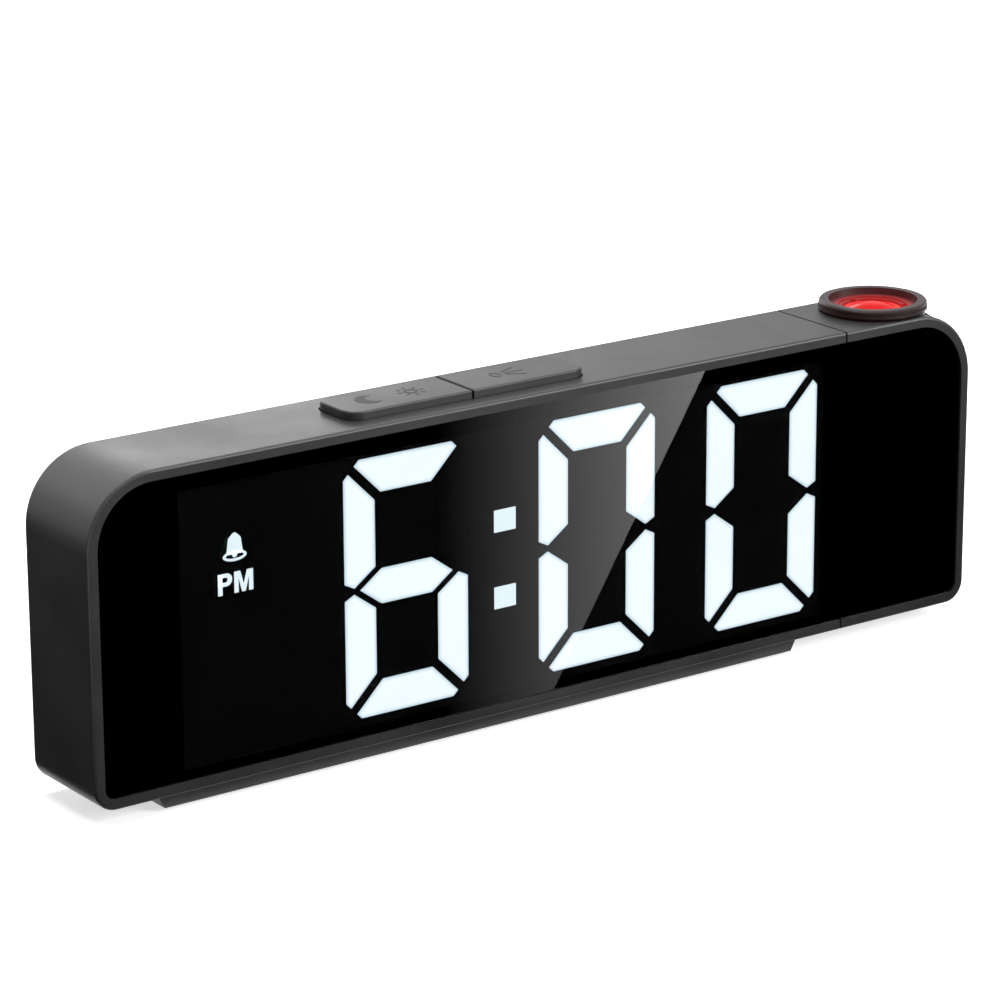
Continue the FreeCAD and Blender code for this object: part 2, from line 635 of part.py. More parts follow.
foot_pads = []
for place in pad_places:
    x = mm("%s - pad_length/2" % place)
    plain = Part.makeBox(mm("pad_length"), mm("pad_depth"), mm("pad_proud + foot_seat"),
                         Vector(x, mm("-pad_depth/2"), 0))
    upright = [edge for edge in plain.Edges if edge.BoundBox.ZLength > 0.1]
    foot_pads.append(plain.makeFillet(mm("foot_draft - panel_fit"), upright))
keep("foot_pads", raw("pads", Part.makeCompound(foot_pads)))
keep("foot_screws", raw("foot_screw_set", Part.makeCompound(
    [screw(mm(place), mm(foot_screw_y), mm("pad_proud + screw_sink"), Vector(0, 0, 1),
           "screw_length - screw_sink") for place in foot_screw_places])))


# Keys on the top: each drops a short way onto its own switch

def top_key(name, x0, x1, ends):
    body = new_body(name)
    sketch = new_sketch(body, "cap", "XY_Plane", "%s - key_gap" % ceiling)
    draw_box(sketch, x0, x1, "key_front", "key_back", ends)
    pad(body, sketch, "wall + key_gap + key_proud")
    top = mm(high) + mm("key_proud")
    round_edges(body, "soft_edge", "key_round",
                lambda edge: abs(edge.ZMin - top) < 1e-4 and abs(edge.ZMax - top) < 1e-4)
    sketch = new_sketch(body, "flange", "XY_Plane", "%s - key_gap" % ceiling)
    reach = "(key_fit + key_flange_reach)"
    x_low = "%s - %s" % (x0, reach) if ends[0] else x0
    x_high = x1 if ends[0] else "%s + %s" % (x1, reach)
    draw_box(sketch, x_low, x_high, "key_front - %s" % reach, "key_back + %s" % reach)
    pad(body, sketch, "key_flange", flip=True)
    sketch = new_sketch(body, "post", "XY_Plane", "%s - key_gap - key_flange" % ceiling)
    draw_circle(sketch, "(%s + %s)/2" % (x0, x1), "post_place", "post_radius")
    pad(body, sketch, "key_travel + wall", flip=True)


top_key("snooze_key", "key_left", "(key_split - key_fit)", ("key_corner", None, None, "key_corner"))
top_key("projector_key", "(key_split + key_fit)", "key_right",
        (None, "key_corner", "key_corner", None))

post_end = "(%s - key_gap - key_flange - key_travel - wall)" % ceiling
plunger_top = "(%s - key_travel - touch_gap)" % post_end
key_switches = []
for place in ("(key_left + key_split)/2", "(key_split + key_right)/2"):
    word = "key_switch_%d" % len(key_switches)
    foot_box = box(word + "_base", "%s - switch_width/2" % place, "%s + switch_width/2" % place,
                   "main_board_front - switch_depth", "main_board_front",
                   "%s - plunger_height - switch_height" % plunger_top,
                   "%s - plunger_height" % plunger_top)
    key_switches.append(fuse(word, [foot_box, rod(word + "_plunger", "plunger_radius",
        "plunger_height", place, "post_place", "%s - plunger_height" % plunger_top)]))
compound = doc.addObject("Part::Compound", "key_switch_pair")
compound.Links = key_switches
keep("key_switches", compound)


# Back of the clock
def cover_plate(name, x0, x1, outer_side):
    body = new_body(name)
    sketch = new_sketch(body, "outline", "XZ_Plane", "-(%s)" % cover_front)
    edge = "wall + cover_fit"
    ends = (("bottom_corner - wall", None, None, "top_corner - wall") if outer_side < 0
            else (None, "bottom_corner - wall", "top_corner - wall", None))
    draw_box(sketch, "%s + %s" % (x0, edge), "%s - (%s)" % (x1, edge), "%s + %s" % (low, edge),
             "%s - (%s)" % (high, edge), ends)
    pad(body, sketch, "cover_thickness", flip=True)
    return body


def screw_seats(body, word, places):
    sketch = new_sketch(body, word + "_holes", "XZ_Plane", "-case_depth/2")
    for x, z in places:
        draw_circle(sketch, x, z, "screw_radius + screw_fit")
    pocket(body, sketch, "cover_thickness", flip=True)
    sketch = new_sketch(body, word + "_sinks", "XZ_Plane", "-case_depth/2")
    for x, z in places:
        draw_circle(sketch, x, z, "screw_head_radius + screw_fit")
    pocket(body, sketch, "screw_sink", flip=True)


track_back = "(%s - door_below_face - door_thickness + lug_fit)" % back
track_front = "(%s - lug_thickness - 2*lug_fit)" % track_back
track_radius = "(door_radius + running_fit + lug_reach + lug_fit)"
well_radius = "(coin_radius + coin_fit)"
coin_back = "(%s - lug_fit)" % track_back
well_bottom = "(%s - coin_thickness - contact_thickness)" % coin_back

rear_cover = cover_plate("rear_cover", left, main_end, -1)
screw_seats(rear_cover, "cover", cover_screw_places)
# cup for the coin cell, with a track behind the rim for the door's lugs
sketch = new_sketch(rear_cover, "cup", "XZ_Plane", "-(%s)" % cover_front)
draw_circle(sketch, "cell_place", "cell_height_place", "%s + well_wall" % track_radius)
pad(rear_cover, sketch, "%s - (%s) + well_floor" % (cover_front, well_bottom))
sketch = new_sketch(rear_cover, "well", "XZ_Plane", "-case_depth/2")
draw_circle(sketch, "cell_place", "cell_height_place", well_radius)
pocket(rear_cover, sketch, "%s - (%s)" % (back, well_bottom), flip=True)
sketch = new_sketch(rear_cover, "door_seat", "XZ_Plane", "-case_depth/2")
draw_circle(sketch, "cell_place", "cell_height_place", "door_radius + running_fit")
pocket(rear_cover, sketch, "%s - (%s)" % (back, track_front), flip=True)


def sector(radius, inner, start, stop, middle_angle, half_angle):
    # part of a ring about the cell's axis, between two depths
    x, z = mm("cell_place"), mm("cell_height_place")
    whole = Part.makeCylinder(radius, stop - start, Vector(x, start, z), Vector(0, 1, 0))
    whole = whole.cut(Part.makeCylinder(inner, stop - start, Vector(x, start, z),
                                        Vector(0, 1, 0)))
    reach = 2 * radius
    far = [Vector(x, start, z)]
    for side in (-1, 1):
        angle = math.radians(middle_angle + side * half_angle)
        far.append(Vector(x + reach * math.cos(angle), start, z + reach * math.sin(angle)))
    wedge = Part.Face(Part.makePolygon(far + far[:1])).extrude(Vector(0, stop - start, 0))
    return whole.common(wedge)


lug_half = mm("lug_angle/2")
entry_half = lug_half + 2
track = Part.makeCylinder(mm(track_radius), mm("%s - (%s)" % (track_back, track_front)),
                          Vector(mm("cell_place"), mm(track_front), mm("cell_height_place")),
                          Vector(0, 1, 0))
seat_radius = mm("door_radius + running_fit")
entries = [sector(mm(track_radius), seat_radius - 0.5, mm(track_back) - 0.2, mm(back) + 1,
                  angle + mm("door_turn"), entry_half) for angle in (0, 180)]
keep_outs = raw("door_track", track.fuse(entries))

# row of buttons in a shallow recess
button_places = ["button_first + %d*button_pitch" % n for n in range(button_count)]
last_button = button_places[-1]
sketch = new_sketch(rear_cover, "button_recess", "XZ_Plane", "-case_depth/2")
recess_half = "(button_radius + recess_margin)"
draw_box(sketch, "button_first - %s" % recess_half, "%s + %s" % (last_button, recess_half),
         "button_height - %s" % recess_half, "button_height + %s" % recess_half,
         ("%s - 0.01" % recess_half,) * 4)
pocket(rear_cover, sketch, "button_recess", flip=True)
sketch = new_sketch(rear_cover, "button_holes", "XZ_Plane", "-case_depth/2")
for place in button_places:
    draw_circle(sketch, place, "button_height", "button_radius + button_fit")
pocket(rear_cover, sketch, "cover_thickness", flip=True)
# mouth of the power socket
sketch = new_sketch(rear_cover, "socket_mouth", "XZ_Plane", "-case_depth/2")
mouth_half = "(socket_tall/2 + panel_fit)"
draw_box(sketch, "socket_place - socket_width/2 - panel_fit",
         "socket_place + socket_width/2 + panel_fit", "socket_height - %s" % mouth_half,
         "socket_height + %s" % mouth_half, ("%s - 0.01" % mouth_half,) * 4)
pocket(rear_cover, sketch, "cover_thickness", flip=True)
# sound holes over the buzzer
sketch = new_sketch(rear_cover, "sound_holes", "XZ_Plane", "-case_depth/2")
draw_circle(sketch, "buzzer_place", "buzzer_height", "grille_radius")
for n in range(6):
    turn = math.radians(60 * n)
    draw_circle(sketch, "buzzer_place + %.6f*grille_pitch" % math.cos(turn),
                "buzzer_height + %.6f*grille_pitch" % math.sin(turn), "grille_radius")
pocket(rear_cover, sketch, "cover_thickness", flip=True)
# standoffs that carry the main board
standoff_inset = "(1.4*standoff_radius)"
board_screw_places = []
for x in ("main_board_left + %s" % standoff_inset, "main_board_right - %s" % standoff_inset):
    for z in ("main_board_low + %s" % standoff_inset, "main_board_high - %s" % standoff_inset):
        board_screw_places.append((x, z))
sketch = new_sketch(rear_cover, "standoffs", "XZ_Plane", "-(%s)" % cover_front)
for x, z in board_screw_places:
    draw_circle(sketch, x, z, "standoff_radius")
pad(rear_cover, sketch, "%s - %s" % (cover_front, main_board_back))
sketch = new_sketch(rear_cover, "standoff_pilots", "XZ_Plane", "-(%s)" % main_board_back)
for x, z in board_screw_places:
    draw_circle(sketch, x, z, "screw_radius")
pocket(rear_cover, sketch, "%s - %s" % (cover_front, main_board_back))
pieces.pop("rear_cover")
rear_cover.Label = "rear_cover_blank"
keep("rear_cover", cut("rear_cover_with_track", rear_cover, [keep_outs]))

keep("cover_screws", raw("cover_screw_set", Part.makeCompound(
    [screw(mm(x), mm(back) - mm("screw_sink"), mm(z), Vector(0, -1, 0), "screw_length")
     for x, z in cover_screw_places])))

# Main board, with what is soldered to it
board = new_body("main_board")
sketch = new_sketch(board, "outline", "XZ_Plane", "-main_board_front")
draw_box(sketch, "main_board_left", "main_board_right", "main_board_low", "main_board_high",
         ("screw_radius",) * 4)
pad(board, sketch, "main_board_thickness", flip=True)
sketch = new_sketch(board, "screw_holes", "XZ_Plane", "-main_board_front")
for x, z in board_screw_places:
    draw_circle(sketch, x, z, "screw_radius + screw_fit")
pocket(board, sketch, "main_board_thickness")
keep("board_screws", raw("board_screw_set", Part.makeCompound(
    [screw(mm(x), mm("main_board_front"), mm(z), Vector(0, 1, 0), "screw_length")
     for x, z in board_screw_places])))

rear_switches = []
for n, place in enumerate(button_places):
    word = "rear_switch_%d" % n
    base = box(word + "_base", "%s - rear_switch_width/2" % place,
               "%s + rear_switch_width/2" % place, main_board_back,
               "%s + rear_switch_height" % main_board_back,
               "button_height - rear_switch_width/2", "button_height + rear_switch_width/2")
    knob = rod(word + "_plunger", "plunger_radius", "plunger_height/2", place,
               "%s + rear_switch_height" % main_board_back, "button_height", "y")
    rear_switches.append(fuse(word, [base, knob]))
compound = doc.addObject("Part::Compound", "rear_switch_row")
compound.Links = rear_switches
keep("rear_switches", compound)

switch_top = "(%s + rear_switch_height + plunger_height/2)" % main_board_back
recess_floor = "(%s - button_recess)" % back
flange_top = "(%s - key_gap)" % cover_front
for n, word in enumerate(("set", "alarm", "mode", "up", "down")):
    name = word + "_button"
    place = button_places[n]
    cap = rod(name + "_cap", "button_radius", "%s + button_proud - %s" % (recess_floor,
              flange_top), place, flange_top, "button_height", "y")
    doc.recompute()
    crown = doc.addObject("Part::Fillet", name + "_crown")
    crown.Base = cap
    far = mm("%s + button_proud" % recess_floor)
    crown.Edges = [(k + 1, mm("key_round"), mm("key_round"))
                   for k, edge in enumerate(cap.Shape.Edges)
                   if edge.Closed and abs(edge.CenterOfMass.y - far) < 1e-4]
    rim_disc = rod(name + "_flange", "button_radius + button_flange_reach", "button_flange",
                   place, "%s - button_flange" % flange_top, "button_height", "y")
    start = "(%s + touch_gap + button_travel)" % switch_top
    stem = rod(name + "_stem", "stem_radius", "%s - button_flange - %s" % (flange_top, start),
               place, start, "button_height", "y")
    keep(name, fuse(name, [crown, rim_disc, stem]))

# power socket: a flat shell round a tongue
shell = new_body("socket_shell")
sketch = new_sketch(shell, "outline", "XZ_Plane", "-case_depth/2 + button_recess/2")
draw_box(sketch, "socket_place - socket_width/2", "socket_place + socket_width/2",
         "socket_height - socket_tall/2", "socket_height + socket_tall/2",
         ("socket_tall/2 - 0.01",) * 4)
pad(shell, sketch, "socket_length")
sketch = new_sketch(shell, "mouth", "XZ_Plane", "-case_depth/2 + button_recess/2")
draw_box(sketch, "socket_place - socket_width/2 + socket_wall",
         "socket_place + socket_width/2 - socket_wall",
         "socket_height - socket_tall/2 + socket_wall",
         "socket_height + socket_tall/2 - socket_wall",
         ("socket_tall/2 - socket_wall - 0.01",) * 4)
pocket(shell, sketch, "socket_length - socket_wall*2", flip=True)
pieces.pop("socket_shell")
socket_front = "(%s - button_recess/2 - socket_length)" % back
tongue = box("socket_tongue", "socket_place - tongue_width/2", "socket_place + tongue_width/2",
             socket_front, "%s + socket_wall + tongue_length" % socket_front,
             "socket_height - tongue_thickness/2", "socket_height + tongue_thickness/2")
legs = box("socket_legs", "socket_place - socket_width/2 + socket_wall",
           "socket_place + socket_width/2 - socket_wall", main_board_back,
           "%s + socket_wall" % socket_front, "socket_height - socket_tall/2 + socket_wall",
           "socket_height + socket_tall/2 - socket_wall")
keep("power_socket", fuse("power_socket", [shell, tongue, legs]))

buzzer_can = rod("buzzer_can", "buzzer_radius", "buzzer_tall", "buzzer_place",
                 main_board_back, "buzzer_height", "y")
buzzer_hole = rod("buzzer_hole", "grille_radius*1.6", "buzzer_tall/2", "buzzer_place",
                  "%s + buzzer_tall/2 + touch_gap" % main_board_back, "buzzer_height", "y")
keep("buzzer", cut("buzzer", buzzer_can, [buzzer_hole]))

# coin cell, its contacts and its door
coin = new_body("coin_cell")
sketch = new_sketch(coin, "can", "XZ_Plane", "-(%s)" % coin_back)
draw_circle(sketch, "cell_place", "cell_height_place", "coin_radius")
pad(coin, sketch, "coin_thickness")
sketch = new_sketch(coin, "step", "XZ_Plane", "-(%s - coin_thickness)" % coin_back)
draw_circle(sketch, "cell_place", "cell_height_place", "coin_radius + 1")
draw_circle(sketch, "cell_place", "cell_height_place", "coin_radius*0.88")
pocket(coin, sketch, "contact_thickness*1.2")
keep("cell_contact", box("cell_contact", "cell_place - coin_radius*0.8",
                         "cell_place + coin_radius*0.8", well_bottom,
                         "%s + contact_thickness" % well_bottom,
                         "cell_height_place - contact_width/2",
                         "cell_height_place + contact_width/2"))

door = new_body("door_disc")
door_front = "(%s - door_below_face - door_thickness)" % back
sketch = new_sketch(door, "disc", "XZ_Plane", "-(%s)" % door_front)
draw_circle(sketch, "cell_place", "cell_height_place", "door_radius")
pad(door, sketch, "door_thickness", flip=True)
sketch = new_sketch(door, "coin_slot", "XZ_Plane", "-(%s + door_thickness)" % door_front)
draw_box(sketch, "cell_place - slot_length/2", "cell_place + slot_length/2",
         "cell_height_place - slot_width/2", "cell_height_place + slot_width/2",
         ("slot_width/2 - 0.01",) * 4)
pocket(door, sketch, "slot_depth", flip=True)
pieces.pop("door_disc")
lug_back = mm(door_front) + 0.2
lug_front = mm("%s - lug_fit - lug_thickness" % track_back)
lugs = raw("door_lugs", Part.makeCompound(
    [sector(mm("door_radius + lug_reach"), mm("coin_radius + 3*coin_fit"), lug_front, lug_back,
            angle, lug_half) for angle in (0, 180)]))
keep("battery_door", fuse("battery_door", [door, lugs]))


# Projector head
head = housing("head_case", head_start, right, 1)
cavity(head, head_start, right, 1, head_inside)
boss_left = "(%s + wall + %s)" % (head_start, boss_inset)
boss_right = "(%s - wall - %s)" % (right, boss_inset)
head_screw_places = [(boss_left, boss_low), (boss_right, boss_low),
                     (boss_left, "(%s - top_corner)" % high),
                     (boss_right, "(%s - top_corner)" % high)]
bosses(head, "cover_bosses", head_screw_places, head_inside)
# room for the focusing ring's clip under the collar
sketch = new_sketch(head, "collar_room", "XY_Plane", ceiling)
draw_circle(sketch, lens_x, "0", "ring_clip_radius + collar_room")
pocket(head, sketch, "skirt_depth")
ear_places = ["%s - ear_reach" % lens_x, "%s + ear_reach" % lens_x]
sketch = new_sketch(head, "ear_bosses", "XZ_Plane", "-(%s)" % head_inside)
for place in ear_places:
    draw_circle(sketch, place, "ear_height", "ear_radius")
pad(head, sketch, "-ear_front - %s" % head_inside, flip=True)
sketch = new_sketch(head, "ear_pilots", "XZ_Plane", "ear_front")
for place in ear_places:
    draw_circle(sketch, place, "ear_height", "screw_radius")
pocket(head, sketch, "-ear_front - %s" % head_inside, flip=True)
sketch = new_sketch(head, "ring_bore", "XY_Plane", high)
draw_circle(sketch, lens_x, "0", "skirt_radius + running_fit")
pocket(head, sketch, "wall")
sketch = new_sketch(head, "pivot_bore", "YZ_Plane", head_start)
draw_circle(sketch, "0", pivot_z, "shaft_radius")
pocket(head, sketch, "wall", flip=True)
panel("head_panel", head_start, right, 1)
head_cover = cover_plate("head_rear_cover", head_start, right, 1)
screw_seats(head_cover, "cover", head_screw_places)
keep("head_screws", raw("head_screw_set", Part.makeCompound(
    [screw(mm(x), mm(back) - mm("screw_sink"), mm(z), Vector(0, -1, 0), "screw_length")
     for x, z in head_screw_places]
    + [screw(mm(x), -mm("ear_front - ear_thickness"), mm("ear_height"), Vector(0, -1, 0),
             "screw_length*0.8") for x in ear_places])))

# hollow shaft on which the head turns, with its wave washer and clip
inner_face = "(%s - wall)" % main_end
clip_start = "(%s - washer_thickness - clip_thickness)" % inner_face
shaft_start = "(%s - shaft_lip)" % clip_start
flange_face = "(%s + wall)" % head_start
tube = rod("shaft_tube", "shaft_radius", "%s - %s" % (flange_face, shaft_start), shaft_start,
           "0", pivot_z, "x")
collar = rod("shaft_collar", "shaft_flange", "flange_thickness", flange_face, "0", pivot_z, "x")
hole = rod("shaft_hole", "shaft_bore", "%s + flange_thickness - %s" % (flange_face, shaft_start),
           shaft_start, "0", pivot_z, "x")
groove_outer = rod("groove_outer", "shaft_radius + 1", "clip_thickness", clip_start, "0",
                   pivot_z, "x")
groove_inner = rod("groove_inner", "shaft_radius - clip_groove", "clip_thickness", clip_start,
                   "0", pivot_z, "x")
groove = cut("clip_groove", groove_outer, [groove_inner])
keep("pivot_shaft", cut("pivot_shaft", fuse("shaft_solid", [tube, collar]), [hole, groove]))
washer_disc = rod("washer_disc", "washer_radius", "washer_thickness", "%s - washer_thickness"
                  % inner_face, "0", pivot_z, "x")
washer_hole = rod("washer_hole", "shaft_radius + running_fit", "washer_thickness",
                  "%s - washer_thickness" % inner_face, "0", pivot_z, "x")
keep("friction_washer", cut("friction_washer", washer_disc, [washer_hole]))
clip_disc = rod("clip_disc", "washer_radius", "clip_thickness", clip_start, "0", pivot_z, "x")
clip_hole = rod("clip_hole", "shaft_radius - clip_groove", "clip_thickness", clip_start, "0",
                pivot_z, "x")
clip_mouth = box("clip_mouth", clip_start, "%s + clip_thickness" % clip_start,
                 "-(shaft_radius - clip_groove)*0.8", "(shaft_radius - clip_groove)*0.8",
                 "%s - washer_radius - 1" % pivot_z, pivot_z)
keep("retaining_clip", cut("retaining_clip", clip_disc, [clip_hole, clip_mouth]))

# Focusing: the ring turns, its helical grooves lift the lens cell by three nubs,
# and the barrel's upright slots keep the cell from turning
ring_top = "(%s + ring_height)" % high
ring_low = "(%s + ring_lift)" % high
step = "(%s - ring_recess)" % ring_top
skirt_low = "(%s - skirt_depth)" % step
skirt_bore = "(skirt_radius - skirt_wall)"
barrel_outer = "(%s - sliding_gap)" % skirt_bore
barrel_inner = "(%s - barrel_wall)" % barrel_outer
cell_outer = "(%s - sliding_gap)" % barrel_inner
cell_bore = "(%s - cell_wall)" % cell_outer
nub_centre = "(%s - ring_groove/4)" % skirt_bore
clip_top = "(%s - wall - sliding_gap)" % high

ring = new_body("ring_blank")
sketch = new_sketch(ring, "profile", "XZ_Plane", "0", lens_x)
tier = "(%s + ring_tier)" % ring_low
draw_polygon(sketch, [
    (skirt_bore, skirt_low), ("skirt_radius", skirt_low),
    ("skirt_radius", "%s - ring_clip_thickness" % clip_top),
    ("skirt_radius - ring_groove", "%s - ring_clip_thickness" % clip_top),
    ("skirt_radius - ring_groove", clip_top), ("skirt_radius", clip_top),
    ("skirt_radius", ring_low), ("ring_radius - ring_groove", ring_low),
    ("ring_radius", "%s + ring_groove" % ring_low), ("ring_radius", tier),
    ("ring_radius - ring_groove", tier),
    ("ring_radius - ring_groove", "%s + 0.6*ring_groove" % tier),
    ("ring_radius - 0.4*ring_groove", "%s + ring_groove" % tier),
    ("ring_radius - 0.4*ring_groove", "%s - ring_groove" % ring_top),
    ("ring_radius - 1.3*ring_groove", ring_top), ("ring_mouth", ring_top),
    ("ring_mouth - 0.5*ring_groove", step), (skirt_bore, step)])
turn_profile(ring, sketch)
pieces.pop("ring_blank")


def helical_groove(angle):
    # tube along a left-handed helix on the skirt's bore, with a straight way in from below
    radius = mm(nub_centre)
    tool = mm("nub_radius + sliding_gap")
    half = math.radians(mm("focus_turn")) + 0.12
    rise = mm("focus_lead") / (2 * math.pi)
    height = 2 * half * rise
    helix = Part.makeHelix(mm("focus_lead"), height, radius, 0, True)
    slope = Vector(0, -1, rise / radius)
    profile = Part.Wire(Part.makeCircle(tool, Vector(radius, 0, 0), slope))
    shape = Part.Wire(helix.Edges).makePipeShell([profile], True, True)
    for turn, z in ((0, 0), (-2 * half, height)):
        ball = Part.makeSphere(tool, Vector(radius * math.cos(turn), radius * math.sin(turn), z))
        shape = shape.fuse(ball)
    way_in = Part.makeCylinder(tool, mm("skirt_depth"), Vector(radius, 0, -mm("skirt_depth")))
    shape = shape.fuse(way_in)
    shape.rotate(Vector(), Vector(0, 0, 1), angle + math.degrees(half))
    shape.translate(Vector(mm(lens_x), 0, mm("nub_height") - height / 2))
    return shape


grooves = [raw("focus_groove_%d" % n, helical_groove(90 + 120 * n)) for n in range(3)]
keep("focus_ring", cut("focus_ring", ring, grooves))
clip_plate = rod("ring_clip_plate", "ring_clip_radius", "ring_clip_thickness", lens_x, "0",
                 "%s - ring_clip_thickness" % clip_top)
clip_core = rod("ring_clip_core", "skirt_radius - ring_groove", "ring_clip_thickness", lens_x,
                "0", "%s - ring_clip_thickness" % clip_top)
clip_slit = box("ring_clip_slit", lens_x, "%s + ring_clip_radius + 1" % lens_x,
                "-nub_radius", "nub_radius", "%s - ring_clip_thickness" % clip_top, clip_top)
keep("ring_clip", cut("ring_clip", clip_plate, [clip_core, clip_slit]))

barrel_top = "(%s - ring_lift*2)" % step
wide = rod("lamp_house", "lamp_house_radius", "shoulder_height + barrel_wall - lamp_house_low",
           lens_x, "0", "lamp_house_low")
narrow = rod("barrel_tube", barrel_outer, "%s - shoulder_height" % barrel_top, lens_x, "0",
             "shoulder_height")
ears = [box("barrel_ears", "%s - ear_reach - ear_radius" % lens_x,
            "%s + ear_reach + ear_radius" % lens_x, "-ear_front", "-ear_front + ear_thickness",
            "ear_height - ear_radius", "ear_height + ear_radius")]
wide_bore = rod("lamp_bore", "lamp_house_radius - lamp_house_wall",
                "shoulder_height - lamp_house_low", lens_x, "0", "lamp_house_low")
narrow_bore = rod("barrel_bore", barrel_inner, "%s - shoulder_height + 2" % barrel_top, lens_x,
                  "0", "shoulder_height - 1")
ear_holes = [rod("ear_hole_%d" % n, "screw_radius + screw_fit", "ear_thickness", place,
                 "-ear_front", "ear_height", "y") for n, place in enumerate(ear_places)]
slot_low = "(nub_height - focus_lead*focus_turn/360 - nub_radius - 2*sliding_gap)"
slots = []
for n in range(3):
    tool = Part.makeBox(mm("%s + 1" % barrel_outer), mm("2*(nub_radius + sliding_gap)"),
                        mm("%s + 1 - %s" % (barrel_top, slot_low)),
                        Vector(0, -mm("nub_radius + sliding_gap"), mm(slot_low)))
    tool.rotate(Vector(), Vector(0, 0, 1), 90 + 120 * n)
    tool.translate(Vector(mm(lens_x), 0, 0))
    slots.append(raw("barrel_slot_%d" % n, tool))
keep("projector_barrel", cut("projector_barrel", fuse("barrel_solid", [wide, narrow] + ears),
                             [wide_bore, narrow_bore] + ear_holes + slots))

cell_top = "(%s - cell_below_ring + ring_recess - ring_lift)" % step
cell_low = "(%s - cell_height)" % cell_top
cell = new_body("cell_tube")
sketch = new_sketch(cell, "profile", "XZ_Plane", "0", lens_x)
lens_top = "(%s - lens_lip)" % cell_top
lens_low = "(%s - lens_thickness + lens_bulge)" % lens_top
draw_polygon(sketch, [
    ("%s - lens_lip" % cell_bore, cell_low), (cell_outer, cell_low),
    (cell_outer, "%s - sliding_gap" % cell_top), ("%s - sliding_gap" % cell_outer, cell_top),
    ("%s - lens_lip + ring_groove" % cell_bore, cell_top),
    ("%s - lens_lip" % cell_bore, "%s - ring_groove" % cell_top),
    ("%s - lens_lip" % cell_bore, lens_top), (cell_bore, lens_top), (cell_bore, lens_low),
    ("%s - lens_lip" % cell_bore, lens_low)])
turn_profile(cell, sketch)
pieces.pop("cell_tube")
nubs = []
for n in range(3):
    base = mm("%s - cell_wall/2" % cell_outer)
    stub = Part.makeCylinder(mm("nub_radius"), mm(nub_centre) - base, Vector(base, 0, 0),
                             Vector(1, 0, 0))
    stub = stub.fuse(Part.makeSphere(mm("nub_radius"), Vector(mm(nub_centre), 0, 0)))
    stub.rotate(Vector(), Vector(0, 0, 1), 90 + 120 * n)
    stub.translate(Vector(mm(lens_x), 0, mm("nub_height")))
    nubs.append(raw("cell_nub_%d" % n, stub.removeSplitter()))
keep("lens_cell", fuse("lens_cell", [cell] + nubs))


def lens_profile(body, radius, base, edge, bulge_up, bulge_down):
    # a lens turned about the optical axis: a flat rim, an arc above, and an arc or a flat below
    sketch = new_sketch(body, "profile", "XZ_Plane", "0", lens_x)
    rim_end, clear = mm(radius), mm("%s - lens_lip" % radius)
    base_z, top_z = mm(base), mm("%s + %s" % (base, edge))
    up, down = mm(bulge_up), mm(bulge_down)

    def sag(bulge):
        # how far the arc has fallen halfway out from the middle
        big = (clear * clear + bulge * bulge) / (2 * bulge)
        return big - math.sqrt(big * big - clear * clear / 4)
    top = [Vector(0, top_z + up, 0), Vector(clear / 2, top_z + up - sag(up), 0),
           Vector(clear, top_z, 0)]
    corner = [Vector(rim_end, top_z, 0), Vector(rim_end, base_z, 0)]
    sketch.addGeometry(Part.Arc(*top), False)
    sketch.addGeometry(Part.LineSegment(top[2], corner[0]), False)
    sketch.addGeometry(Part.LineSegment(corner[0], corner[1]), False)
    if down > 0:
        under = [Vector(clear, base_z, 0), Vector(clear / 2, base_z - down + sag(down), 0),
                 Vector(0, base_z - down, 0)]
        sketch.addGeometry(Part.LineSegment(corner[1], under[0]), False)
        sketch.addGeometry(Part.Arc(*under), False)
    else:
        under = [Vector(0, base_z, 0)]
        sketch.addGeometry(Part.LineSegment(corner[1], under[0]), False)
    sketch.addGeometry(Part.LineSegment(under[-1], top[0]), False)
    turn_profile(body, sketch)


lens = new_body("objective_lens")
lens_profile(lens, cell_bore, lens_low, "%s - %s" % (lens_top, lens_low), "lens_bulge*0.4",
             "lens_bulge")
condenser = new_body("condenser_lens")
lens_profile(condenser, "lamp_house_radius - lamp_house_wall", "condenser_rise",
             "condenser_edge", "condenser_bulge", "0")
slide_top = "(shoulder_height - sliding_gap)"
keep("time_slide", box("time_slide", "%s - slide_width/2" % lens_x,
                       "%s + slide_width/2" % lens_x, "-slide_width/2", "slide_width/2",
                       "%s - slide_thickness" % slide_top, slide_top))
keep("projector_board", box("projector_board", "%s - lamp_house_radius" % lens_x,
                            "%s + lamp_house_radius" % lens_x, "-lamp_house_radius",
                            "lamp_house_radius", "lamp_house_low - board_thickness",
                            "lamp_house_low"))
keep("projector_led", box("projector_led", "%s - led_length/2" % lens_x,
                          "%s + led_length/2" % lens_x, "-led_width/2", "led_width/2",
                          "lamp_house_low", "lamp_house_low + 2*led_height"))

# Check, then write each piece
doc.recompute()
for thing in doc.Objects:
    if "Invalid" in thing.State or "Error" in thing.State:
        raise RuntimeError("%s is %s" % (thing.Name, thing.State))
for name, thing in pieces.items():
    if thing.Shape.isNull() or not thing.Shape.isValid() or not thing.Shape.Solids:
        raise RuntimeError("%s has no valid solid" % name)
for name, thing in sorted(pieces.items()):
    thing.Shape.exportStep("parts/%s.step" % name)
    print("%-26s solids %2d volume %9.1f" % (name, len(thing.Shape.Solids), thing.Shape.Volume))
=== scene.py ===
import math

import bmesh
import bpy
import numpy as np
from mathutils import Matrix, Vector


